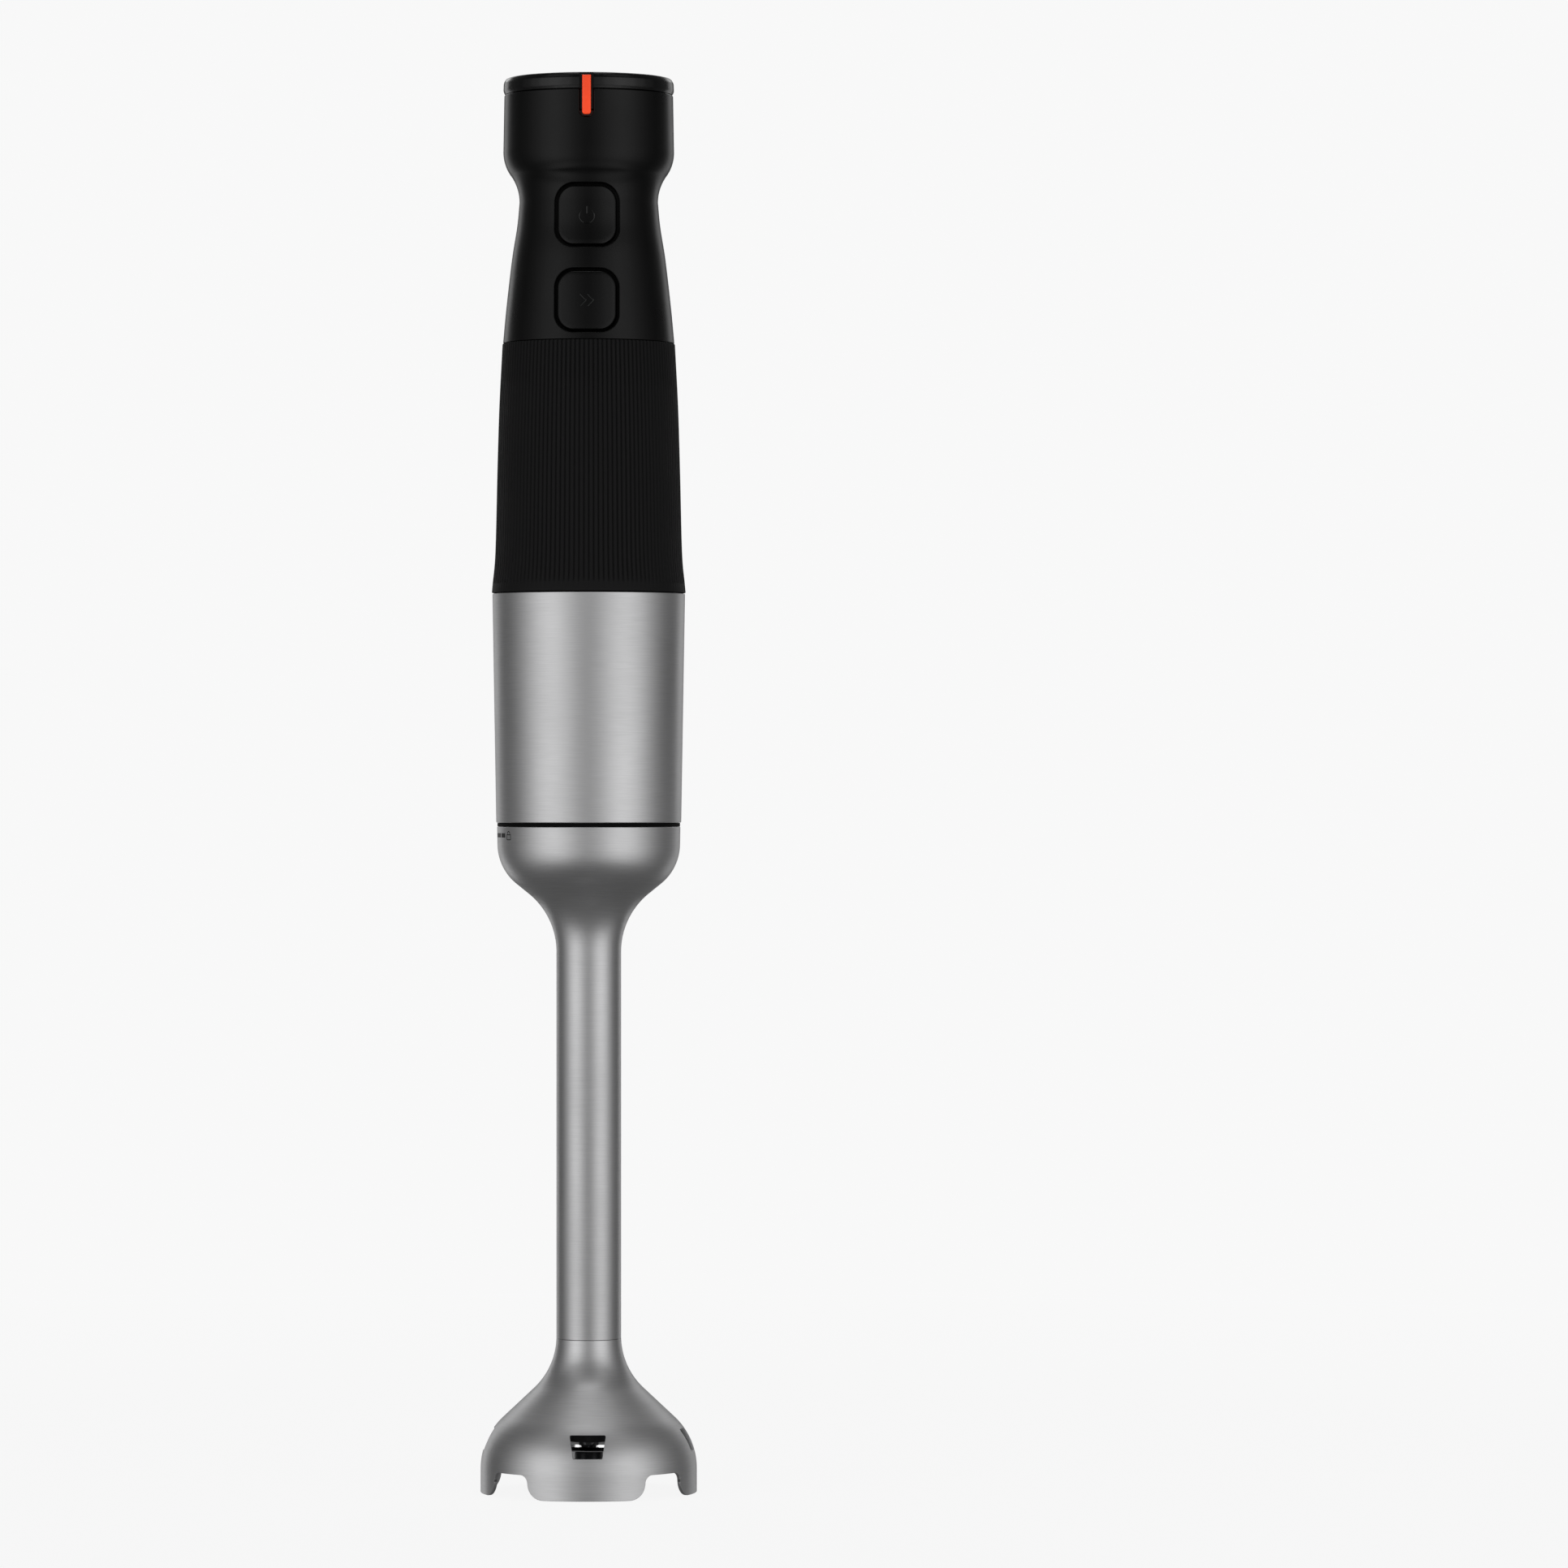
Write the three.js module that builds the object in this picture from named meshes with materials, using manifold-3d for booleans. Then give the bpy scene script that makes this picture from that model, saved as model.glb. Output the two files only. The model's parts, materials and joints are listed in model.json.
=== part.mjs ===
// Immersion blender: a motor unit with a speed dial and two push buttons, a bayonet coupling, and a steel
// blending leg that ends in a bell guard with a blade. Millimetres, +Z up, the front faces -Y, and the
// origin is the centre of the circle that the four feet of the bell guard stand on.

import * as THREE from "three";
import { mergeVertices } from "three/addons/utils/BufferGeometryUtils.js";
import Module from "manifold-3d";

const wasm = await Module();
wasm.setup();

// ---------------------------------------------------------------- driving dimensions

const GAP = 0.3; // clearance between pieces that touch
const SHELL_FACETS = 32; // round the outer shells
const FRAME_FACETS = 24; // round the frames inside them
const INNER_FACETS = 12; // round shafts, bushes and bearings
const SMALL_FACETS = 8; // round screws, stems and their holes

// Bell guard. Notches and windows are placed by their angle from the front, towards +X.
const BELL_WALL = 1.2;
const BELL_TOP = 46.05;
const BELL_RIM = { centre: [11.55, 7.0], radius: 21.0, turn: 46 }; // convex lower round
const BELL_NECK = { centre: [31.24, 46.8], radius: 21.5, turn: 46 }; // concave upper round
const NOTCH = { at: [45.6, 134.4, 225.6, 314.4], halfWidth: 7.2, top: 7.3, innerRound: 2.5, footRound: 5.0 };
const WINDOW = { at: [0.9, 85, 180, 270], bottom: 12.5, top: 19.3, halfBottom: 4.35, halfTop: 5.4 };

// Leg
const LEG_WALL = 1.0;
const LEG_BOTTOM = BELL_TOP + GAP;
const LEG_TOP = 200.2;
const TUBE_RADIUS = 9.74;
const CUP_RIM_RADIUS = 27.6;
const CUP_ROUND = { centre: [12.0, 195.0], radius: 15.5, turn: 52.5 }; // convex shoulder under the cup
const CUP_NECK = { centre: [32.24, 162.5], radius: 22.5, turn: 52.5 }; // concave run into the tube

// Motor unit, from the bottom up
const SEAL_RADIUS = 27.5;
const SLEEVE_BOTTOM = 201.6;
const SLEEVE_TOP = 270.2;
const SLEEVE_RADIUS = { bottom: 27.85, top: 29.0 };
const SLEEVE_WALL = 0.8;
const GRIP_BOTTOM = SLEEVE_TOP + GAP;
const GRIP_TOP = 345.5;
const SKIRT_BOTTOM = 262.0;
const SKIRT_RADIUS = { bottom: 26.4, top: 23.3 };
const NECK = { radius: 20.84, z: 388.0, round: 14.0, turn: 35 };
const SHOULDER = { radius: 25.7, z: 403.1, round: 12.0, turn: 35 };
const CAP_TOP = 420.2;
const CAP_TOP_RADIUS = 25.4;
const BEZEL_TOP = 425.1;
const BEZEL_BORE = 21.2;

// Controls
const BUTTON = { opening: 19.3, side: 17.6, corner: 5.0, flange: 20.6, travel: 1.5 };
const BUTTON_HEIGHTS = { power: 382.8, turbo: 357.2 };
const MARKER = { width: 2.6, bottom: 412.5, top: 424.2, round: 0.8, face: 25.75, back: 24.5, gap: 0.85 };
const DIAL = { radius: 20.7, under: 419.9, face: 422.2, rim: 424.4, gripHalfWidth: 2.6, gripReach: 15.2 };
const DIAL_SHAFT = { bottom: 407.0, top: 420.7 };
const PLATE = { bottom: 412.2, top: 413.8, radius: 22.9 }; // carries the potentiometer
const POTENTIOMETER = { radius: 8.2, bottom: 401.0, bushRadius: 4.0, bushTop: 417.0 };
const SWITCH = { front: -7.9, half: 6.4 };
const BOARD = { front: 2.5, back: 4.1, halfWidth: 13.5, bottom: 300, top: 397 };
const HEAT_SINK = { halfWidth: 9, back: 10.0, bottom: 318, top: 340, finPitch: 4, finWidth: 1.4 };
const CAPACITOR = { halfWidth: 9, front: -8.5, bottom: 305, top: 323 };
const CORD = { height: 404.9, bore: 3.2, collar: 6.5, neck: 4.4, hole: 4.8, end: 28.0 };
const CLAMP = { screwX: 6, height: 393, halfWidth: 8.5, front: 12.5, back: 15.5 };

// Coupling
const SPIGOT = { outer: 20.0, inner: 16.8, bottom: 189.0 };
const LUG = { count: 4, width: 24, spigotZ: [191.5, 194.0], socketZ: [194.5, 197.0] };
const DOG = { radius: 8.0, lugWidth: 40, bottom: 188.5, top: 194.5, hubTop: 203.5, hubBottom: 180.0 };
const FLANGE = { bottom: 201.9, top: 205.5, outer: 26.6, bore: 9.0 };

// Drive line
const MOTOR_SHAFT_RADIUS = 2.5;
const MOTOR_SHAFT = { bottom: 196.0, top: 289.5 };
const DRIVE_SHAFT_RADIUS = 3.0;
const DRIVE_SHAFT = { bottom: 9.2, top: 186.5, studRadius: 2.2 };
const STACK = { bottom: 236.0, top: 262.0 };
const FRAME = { bottom: 205.8, wall: 26.4, inside: 24.7, top: 261.0 };
const UPPER_FRAME = { bottom: 267.2, wall: 22.9, inside: 21.0, top: 290.5 };
const BEARING = { radius: 5.0, seat: 5.3, height: 4.0, lower: 208.9, upper: 284.0 };
const POLE = { inner: 12.6, outer: 14.9, width: 80, neckHalf: 6.0 };
const COIL = { inner: 15.2, outer: 17.6, half: 9.8, bottom: 231.5, top: 266.5 };
const BRUSH = { middle: 275.0, inner: 8.9, outer: 19.0, half: 2.2, guideHalf: 2.5, holderHalf: 3.4 };
const FAN = { radius: 23.0, hub: 6.0, disc: 215.0, vaneTop: 224.0, hubTop: 226.0, vanes: 9 };
const COMMUTATOR = { radius: 8.5, bottom: 269.0, top: 281.0 };
const BLADE = { top: 13.6, thickness: 1.2, reach: 22.5, tip: 5.0, chord: 6.5, drop: 3.6, rise: 4.2 };

// ---------------------------------------------------------------- looks

const STEEL = { color: 0xb6b7b8, roughness: 0.32, metalness: 1.0 };
const SOFT_BLACK = { color: 0x121213, roughness: 0.55, metalness: 0.0 };
const RUBBER = { color: 0x0f0f10, roughness: 0.8, metalness: 0.0 };
const GLOSS_BLACK = { color: 0x0a0a0b, roughness: 0.12, metalness: 0.0 };
const ORANGE = { color: 0xe44a22, roughness: 0.4, metalness: 0.0 };
const WHITE_PLASTIC = { color: 0xd9d7d0, roughness: 0.5, metalness: 0.0 };
const GREY_PLASTIC = { color: 0x55585b, roughness: 0.55, metalness: 0.0 };
const BRASS = { color: 0xb8964a, roughness: 0.35, metalness: 1.0 };
const COPPER = { color: 0xb4662f, roughness: 0.35, metalness: 1.0 };
const CARBON = { color: 0x2b2b2d, roughness: 0.7, metalness: 0.2 };
const LAMINATION = { color: 0x6d7073, roughness: 0.5, metalness: 0.9 };
const SOLDER_MASK = { color: 0x1f5a36, roughness: 0.5, metalness: 0.0 };
const POLISHED = { color: 0xd0d2d4, roughness: 0.12, metalness: 1.0 };

// ---------------------------------------------------------------- geometry helpers

function welded(geometry) {
  // One vertex per corner, and no triangle without area.
  const flat = geometry.clone();
  flat.deleteAttribute("normal");
  flat.deleteAttribute("uv");
  const merged = mergeVertices(flat, 1e-4);
  const corners = merged.index.array;
  const kept = [];
  for (let i = 0; i < corners.length; i += 3) {
    const [a, b, c] = [corners[i], corners[i + 1], corners[i + 2]];
    if (a !== b && b !== c && c !== a) kept.push(a, b, c);
  }
  merged.setIndex(kept);
  return merged;
}

function toSolid(geometry) {
  const mesh = welded(geometry);
  const vertProperties = new Float32Array(mesh.attributes.position.array);
  const triVerts = new Uint32Array(mesh.index.array);
  return new wasm.Manifold(new wasm.Mesh({ numProp: 3, vertProperties, triVerts }));
}

function fromSolid(solid) {
  const mesh = solid.getMesh();
  const geometry = new THREE.BufferGeometry();
  geometry.setAttribute("position", new THREE.BufferAttribute(new Float32Array(mesh.vertProperties), 3));
  geometry.setIndex(Array.from(mesh.triVerts));
  return geometry;
}

function cut(geometry, ...cutters) {
  return fromSolid(cutters.reduce((left, cutter) => left.subtract(toSolid(cutter)), toSolid(geometry)));
}

function join(...geometries) {
  const [first, ...rest] = geometries.map(toSolid);
  return fromSolid(rest.reduce((sum, next) => sum.add(next), first));
}

function common(first, second) {
  return fromSolid(toSolid(first).intersect(toSolid(second)));
}

function radians(degrees) {
  return THREE.MathUtils.degToRad(degrees);
}

// Points of a round in an outline of [radius, height] points, from one angle to another, in degrees.
function round([r, z], radius, from, to, steps = 4) {
  return Array.from({ length: steps + 1 }, (_, i) => {
    const angle = radians(from + ((to - from) * i) / steps);
    return [r + radius * Math.cos(angle), z + radius * Math.sin(angle)];
  });
}

// A solid of revolution about Z. The outline closes on itself, or starts and ends on the axis.
function turned(outline, facets = INNER_FACETS) {
  const points = outline.map(([r, z]) => new THREE.Vector2(r, z));
  const onAxis = outline[0][0] === 0 && outline[outline.length - 1][0] === 0;
  if (!onAxis) points.push(points[0].clone());
  const outside = THREE.ShapeUtils.area(points) < 0;
  if (outside) points.reverse();
  return welded(new THREE.LatheGeometry(points, facets).rotateX(Math.PI / 2));
}

function tube(outer, inner, bottom, top, facets = INNER_FACETS) {
  return turned(
    [
      [inner, bottom],
      [outer, bottom],
      [outer, top],
      [inner, top],
    ],
    facets,
  );
}

function rod(radius, bottom, top, facets = INNER_FACETS) {
  return turned(
    [
      [0, bottom],
      [radius, bottom],
      [radius, top],
      [0, top],
    ],
    facets,
  );
}

function block([x0, x1], [y0, y1], [z0, z1]) {
  const box = new THREE.BoxGeometry(x1 - x0, y1 - y0, z1 - z0);
  return box.translate((x0 + x1) / 2, (y0 + y1) / 2, (z0 + z1) / 2);
}

function upright(shape, bottom, top, curveSegments = 4) {
  const options = { depth: top - bottom, bevelEnabled: false, curveSegments };
  return new THREE.ExtrudeGeometry(shape, options).translate(0, 0, bottom);
}

// A shape drawn with x to the right and y up, standing in the XZ plane and running from one y to another.
function facing(shape, from, to, height = 0, curveSegments = 4) {
  const options = { depth: to - from, bevelEnabled: false, curveSegments };
  return new THREE.ExtrudeGeometry(shape, options).rotateX(Math.PI / 2).translate(0, to, height);
}

function rodAlongY(radius, from, to, x, z, facets = SMALL_FACETS) {
  return new THREE.CylinderGeometry(radius, radius, to - from, facets).translate(x, (from + to) / 2, z);
}

function roundedSquare(side, corner) {
  const half = side / 2;
  const shape = new THREE.Shape();
  shape.absarc(half - corner, half - corner, corner, 0, Math.PI / 2);
  shape.absarc(corner - half, half - corner, corner, Math.PI / 2, Math.PI);
  shape.absarc(corner - half, corner - half, corner, Math.PI, 1.5 * Math.PI);
  shape.absarc(half - corner, corner - half, corner, 1.5 * Math.PI, 2 * Math.PI);
  return shape;
}

function polygon(points) {
  return new THREE.Shape(points.map(([x, y]) => new THREE.Vector2(x, y)));
}

// A piece of a ring, centred on an angle measured from +X, in degrees.
function sector(inner, outer, centre, width, bottom, top) {
  const [from, to] = [radians(centre - width / 2), radians(centre + width / 2)];
  const shape = new THREE.Shape();
  shape.absarc(0, 0, outer, from, to);
  shape.absarc(0, 0, inner, to, from, true);
  return upright(shape, bottom, top, 3);
}

function around(count, first, make) {
  return Array.from({ length: count }, (_, i) => make(first + (360 * i) / count, i));
}

function blendRadius(z, lowZ, lowRadius, highZ, highRadius) {
  return lowRadius + ((highRadius - lowRadius) * (z - lowZ)) / (highZ - lowZ);
}

const parts = new THREE.Group();

function add(name, geometry, look) {
  const flat = welded(geometry).toNonIndexed();
  flat.computeVertexNormals();
  const mesh = new THREE.Mesh(flat, new THREE.MeshStandardMaterial(look));
  mesh.name = name;
  parts.add(mesh);
}

// ---------------------------------------------------------------- outlines

// Outer outline of the handle above the grip, from the bottom up, moved inwards by inset.
function handleOutline(inset = 0) {
  const taper = new THREE.SplineCurve([
    new THREE.Vector2(25.8, GRIP_TOP + GAP),
    new THREE.Vector2(24.8, 356.2),
    new THREE.Vector2(23.1, 370.9),
    new THREE.Vector2(21.55, 380.7),
    new THREE.Vector2(NECK.radius, NECK.z),
  ]);
  const neckCentre = [NECK.radius + NECK.round, NECK.z];
  const shoulderCentre = [SHOULDER.radius - SHOULDER.round, SHOULDER.z];
  return [
    ...taper.getPoints(6).map((point) => [point.x, point.y]),
    ...round(neckCentre, NECK.round, 180, 180 - NECK.turn, 3).slice(1),
    ...round(shoulderCentre, SHOULDER.round, -SHOULDER.turn, 0, 3),
    [CAP_TOP_RADIUS, CAP_TOP],
  ].map(([r, z]) => [r - inset, z]);
}

// Outer outline of the grip, from the bottom up. The foot of the grip flares out over the steel sleeve.
function gripOutline() {
  return [
    [29.2, GRIP_BOTTOM],
    [28.95, 273.1],
    [28.1, 282.9],
    [27.5, 307.3],
    [26.9, 326.9],
    [25.95, GRIP_TOP],
  ];
}

function skirtRadius(z) {
  return blendRadius(z, SKIRT_BOTTOM, SKIRT_RADIUS.bottom, GRIP_TOP, SKIRT_RADIUS.top);
}

// Outline of the bell guard from the foot up to the neck, moved inwards by inset.
function bellOutline(inset = 0, steps = 5) {
  const foot = [BELL_RIM.centre[0] + BELL_RIM.radius - inset, 0];
  const rim = round(BELL_RIM.centre, BELL_RIM.radius - inset, 0, BELL_RIM.turn, steps);
  const neck = round(BELL_NECK.centre, BELL_NECK.radius + inset, 180 + BELL_NECK.turn, 182, steps);
  return [foot, ...rim, ...neck, [TUBE_RADIUS - inset, BELL_TOP]];
}

// Outline of the leg from the bottom of the tube up to the rim of the cup, moved inwards by inset.
function legOutline(inset = 0, steps = 4) {
  const neck = round(CUP_NECK.centre, CUP_NECK.radius + inset, 180, 180 - CUP_NECK.turn, steps);
  const shoulder = round(CUP_ROUND.centre, CUP_ROUND.radius - inset, -CUP_ROUND.turn, 0, steps);
  return [[TUBE_RADIUS - inset, LEG_BOTTOM], ...neck, ...shoulder, [CUP_RIM_RADIUS - inset, LEG_TOP]];
}

function shell(outer, inner, facets = SHELL_FACETS) {
  return turned([...outer, ...[...inner].reverse()], facets);
}

// ---------------------------------------------------------------- motor unit: housing

// The marker, or the slot round it, with two rounded lower corners.
function markerShape(margin, top) {
  const half = MARKER.width / 2 + margin;
  const corner = MARKER.round + margin;
  const height = MARKER.bottom + MARKER.round;
  const shape = new THREE.Shape();
  shape.absarc(corner - half, height, corner, Math.PI, 1.5 * Math.PI);
  shape.absarc(half - corner, height, corner, 1.5 * Math.PI, 2 * Math.PI);
  shape.lineTo(half, top);
  shape.lineTo(-half, top);
  return shape;
}

function markerSlot() {
  return facing(markerShape(MARKER.gap, BEZEL_TOP + 1), -30, GAP - MARKER.back);
}

function cordRod(radius, from, to) {
  return rodAlongY(radius, from, to, 0, CORD.height, INNER_FACETS);
}

function atClampScrews(make) {
  return [-CLAMP.screwX, CLAMP.screwX].map(make);
}

function handleShell() {
  const inner = [
    [SKIRT_RADIUS.bottom - 2, SKIRT_BOTTOM],
    [21.3, 344.0],
    [22.0, 352.0],
    [20.8, 370.9],
    [19.2, 380.7],
    [18.6, 386.0],
    [18.7, 390.0],
    [21.3, 396.5],
    [23.2, 403.0],
    [23.2, 409.0],
    [21.5, 410.4], // ledge that carries the dial plate
    [21.5, 411.9],
    [23.2, 411.9],
    [23.2, CAP_TOP],
  ];
  const outer = [
    [SKIRT_RADIUS.bottom, SKIRT_BOTTOM],
    [SKIRT_RADIUS.top, GRIP_TOP + GAP],
    ...handleOutline(),
  ];
  const bosses = atClampScrews((x) => rodAlongY(2.4, CLAMP.back + GAP, 19.8, x, CLAMP.height));
  const holes = atClampScrews((x) => rodAlongY(1.6, 15.0, 18.2, x, CLAMP.height));
  const openings = Object.values(BUTTON_HEIGHTS).map((height) =>
    facing(roundedSquare(BUTTON.opening, BUTTON.corner + 0.8), -30, -12, height),
  );
  const body = join(shell(outer, inner), ...bosses);
  return cut(body, ...holes, ...openings, markerSlot(), cordRod(CORD.hole, 18, 30));
}

function bezelRing() {
  const outline = [
    [22.9, 414.1],
    [22.9, CAP_TOP + GAP],
    [25.4, CAP_TOP + GAP],
    [25.7, 424.4],
    [25.1, BEZEL_TOP],
    [22.0, BEZEL_TOP],
    [BEZEL_BORE, 424.3],
    [BEZEL_BORE, 414.1],
  ];
  return cut(turned(outline, SHELL_FACETS), markerSlot());
}

function steelSleeve() {
  const outer = [
    [SLEEVE_RADIUS.bottom - 0.75, SLEEVE_BOTTOM],
    [SLEEVE_RADIUS.bottom - 0.2, SLEEVE_BOTTOM + 0.25],
    [SLEEVE_RADIUS.bottom, SLEEVE_BOTTOM + 0.9],
    [SLEEVE_RADIUS.top, SLEEVE_TOP],
  ];
  const inner = [
    [SLEEVE_RADIUS.bottom - SLEEVE_WALL, SLEEVE_BOTTOM + 0.9],
    [SLEEVE_RADIUS.top - SLEEVE_WALL, SLEEVE_TOP],
  ];
  return shell(outer, inner);
}

function gripSleeve() {
  const inner = [
    [skirtRadius(GRIP_BOTTOM) + GAP, GRIP_BOTTOM],
    [skirtRadius(GRIP_TOP) + GAP, GRIP_TOP],
  ];
  return shell(gripOutline(), inner);
}

function cordGland() {
  const handleSpace = rod(SHOULDER.radius + GAP, NECK.z, BEZEL_TOP, SHELL_FACETS);
  const collar = cut(cordRod(CORD.collar, 24.0, CORD.end), handleSpace);
  const neck = cordRod(CORD.neck, 19.0, 27.0);
  const innerFlange = cordRod(5.6, 18.8, 21.0);
  const bore = cordRod(CORD.bore, 18.0, CORD.end + 1);
  return cut(join(collar, neck, innerFlange), bore);
}

add("handle_shell", handleShell(), SOFT_BLACK);
add("grip_sleeve", gripSleeve(), RUBBER);
add("steel_sleeve", steelSleeve(), STEEL);
add("bezel_ring", bezelRing(), GLOSS_BLACK);
add("index_marker", facing(markerShape(0, MARKER.top), -MARKER.face, -MARKER.back), ORANGE);
add("cord_gland", cordGland(), RUBBER);

// ---------------------------------------------------------------- motor unit: cord clamp

function clampBar() {
  const { halfWidth, front, back, height } = CLAMP;
  const bar = block([-halfWidth, halfWidth], [front, back], [height - 3, height + 3]);
  const screwHoles = atClampScrews((x) => rodAlongY(1.6, front - 1, back + 1, x, height));
  const cordSeat = rod(2.6, height - 4, height + 4, SMALL_FACETS).translate(0, back + 0.9, 0);
  return cut(bar, ...screwHoles, cordSeat);
}

function clampScrew(x) {
  const head = rodAlongY(2.6, CLAMP.front - 2.3, CLAMP.front - GAP, x, CLAMP.height);
  const shank = rodAlongY(1.3, CLAMP.front - 0.5, 17.8, x, CLAMP.height);
  return join(head, shank);
}

add("cord_clamp", clampBar(), GREY_PLASTIC);
add("clamp_screw_left", clampScrew(-CLAMP.screwX), STEEL);
add("clamp_screw_right", clampScrew(CLAMP.screwX), STEEL);

// ---------------------------------------------------------------- speed dial and its control

// A dished disc with a raised rim, a hub on the dial shaft and a grip bar across the face.
function speedDial() {
  const bore = DRIVE_SHAFT_RADIUS + GAP;
  const { radius, under, face, rim, gripHalfWidth, gripReach } = DIAL;
  const disc = turned(
    [
      [0, face - 1.2],
      [bore, face - 1.2],
      [bore, under - 2],
      [4.9, under - 2],
      [4.9, under],
      [radius, under],
      [radius, rim - 0.5],
      [radius - 0.5, rim],
      [16.0, rim - 0.5],
      [14.6, face],
      [0, face],
    ],
    SHELL_FACETS,
  );
  const grip = block([-gripHalfWidth, gripHalfWidth], [-gripReach, gripReach], [face - 0.7, rim + 0.2]);
  return join(disc, grip);
}

function potentiometer() {
  const { radius, bottom, bushRadius, bushTop } = POTENTIOMETER;
  const body = rod(radius, bottom, PLATE.bottom - GAP);
  const bush = rod(bushRadius, PLATE.bottom - 1, bushTop);
  const bore = rod(DRIVE_SHAFT_RADIUS + GAP, DIAL_SHAFT.bottom - 0.5, bushTop + 1);
  return cut(join(body, bush), bore);
}

function potentiometerNut() {
  const hexagon = rod(5.6, PLATE.top + GAP, PLATE.top + 2.6, 6);
  return cut(hexagon, rod(POTENTIOMETER.bushRadius + GAP, PLATE.top - 1, PLATE.top + 4));
}

const PLATE_BORE = POTENTIOMETER.bushRadius + GAP;
add("dial_plate", tube(PLATE.radius, PLATE_BORE, PLATE.bottom, PLATE.top, FRAME_FACETS), GREY_PLASTIC);
add("speed_dial", speedDial(), SOFT_BLACK);
add("dial_shaft", rod(DRIVE_SHAFT_RADIUS, DIAL_SHAFT.bottom, DIAL_SHAFT.top), POLISHED);
add("potentiometer", potentiometer(), GREY_PLASTIC);
add("pot_nut", potentiometerNut(), BRASS);

// ---------------------------------------------------------------- push buttons, switches and board

// The face of a button follows the handle, whose radius at the button is surfaceRadius. The flange behind
// the wall keeps the button in, and the stem pushes the switch at the end of its travel.
function pushButton(height, surfaceRadius) {
  const handle = turned([[0, GRIP_TOP + GAP], ...handleOutline(0.05), [0, CAP_TOP]], SHELL_FACETS);
  const face = common(facing(roundedSquare(BUTTON.side, BUTTON.corner), -30, -14.5, height), handle);
  const flange = facing(roundedSquare(BUTTON.flange, BUTTON.corner + 1), -14.8, -13.3, height);
  const pocket = facing(roundedSquare(13, 4), 3 - surfaceRadius, -13, height);
  const stem = rodAlongY(1.8, 2 - surfaceRadius, SWITCH.front - BUTTON.travel - GAP, 0, height);
  return join(cut(join(face, flange), pocket), stem);
}

// Plate behind the buttons with a hole for each stem.
function buttonGuide() {
  const plate = block([-12, 12], [-11.3, -10.1], [GRIP_TOP, BOARD.top - 1.5]);
  const holes = Object.values(BUTTON_HEIGHTS).map((height) => rodAlongY(2.4, -12, -9, 0, height));
  return cut(plate, ...holes);
}

function switchBody(height) {
  const { front, half } = SWITCH;
  return block([-half, half], [front, BOARD.front - GAP], [height - half, height + half]);
}

function controlBoard() {
  return block([-BOARD.halfWidth, BOARD.halfWidth], [BOARD.front, BOARD.back], [BOARD.bottom, BOARD.top]);
}

function filterCapacitor() {
  const { halfWidth, front, bottom, top } = CAPACITOR;
  return block([-halfWidth, halfWidth], [front, BOARD.front - GAP], [bottom, top]);
}

function heatSink() {
  const { halfWidth, back, bottom, top, finPitch, finWidth } = HEAT_SINK;
  const front = BOARD.back + GAP;
  const base = block([-halfWidth, halfWidth], [front, front + 1.6], [bottom, top]);
  const fins = [-2, -1, 0, 1, 2].map((i) => {
    const x = i * finPitch;
    return block([x - finWidth / 2, x + finWidth / 2], [front + 1.4, back], [bottom, top]);
  });
  return join(base, ...fins);
}

add("power_button", pushButton(BUTTON_HEIGHTS.power, 21.1), SOFT_BLACK);
add("turbo_button", pushButton(BUTTON_HEIGHTS.turbo, 24.5), SOFT_BLACK);
add("button_guide", buttonGuide(), GREY_PLASTIC);
add("power_switch", switchBody(BUTTON_HEIGHTS.power), CARBON);
add("turbo_switch", switchBody(BUTTON_HEIGHTS.turbo), CARBON);
add("control_board", controlBoard(), SOLDER_MASK);
add("triac_heatsink", heatSink(), STEEL);
add("filter_capacitor", filterCapacitor(), BRASS);

// ---------------------------------------------------------------- motor: fixed parts

const STATOR_RADIUS = 24.3;
const SCREWS = { circle: 13.0, first: 90, count: 3 }; // flange to lower frame

function onCircle(geometry, radius, degrees) {
  return geometry.translate(radius * Math.cos(radians(degrees)), radius * Math.sin(radians(degrees)), 0);
}

// A rod at each flange screw.
function atScrews(radius, bottom, top, facets) {
  const { count, first, circle } = SCREWS;
  return around(count, first, (at) => onCircle(rod(radius, bottom, top, facets), circle, at));
}

// A cup with a bearing seat and three screw bosses in its floor. Its wall holds the stator.
function lowerFrame() {
  const { bottom, wall, inside, top } = FRAME;
  const floor = BEARING.lower - GAP;
  const seatTop = BEARING.lower + BEARING.height + 0.5;
  const cup = turned(
    [
      [3.2, bottom],
      [wall, bottom],
      [wall, top],
      [inside, top],
      [inside, floor],
      [8.0, floor],
      [8.0, seatTop],
      [BEARING.seat, seatTop],
      [BEARING.seat, floor],
      [3.2, floor],
    ],
    FRAME_FACETS,
  );
  const bosses = atScrews(3.2, floor - 0.6, seatTop, INNER_FACETS);
  const holes = atScrews(1.7, bottom - 1, seatTop - 0.5, SMALL_FACETS);
  return cut(join(cup, ...bosses), ...holes);
}

// A cap over the commutator, with a bearing seat in its roof.
function upperFrame() {
  const { bottom, wall, inside, top } = UPPER_FRAME;
  const roof = BEARING.upper + BEARING.height + GAP;
  return turned(
    [
      [inside, bottom],
      [wall, bottom],
      [wall, top],
      [3.2, top],
      [3.2, roof],
      [BEARING.seat, roof],
      [BEARING.seat, BEARING.upper - 0.5],
      [7.6, BEARING.upper - 0.5],
      [7.6, roof - GAP],
      [inside, roof - GAP],
    ],
    FRAME_FACETS,
  );
}

function bearing(bottom) {
  return tube(BEARING.radius, MOTOR_SHAFT_RADIUS + GAP, bottom, bottom + BEARING.height);
}

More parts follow.
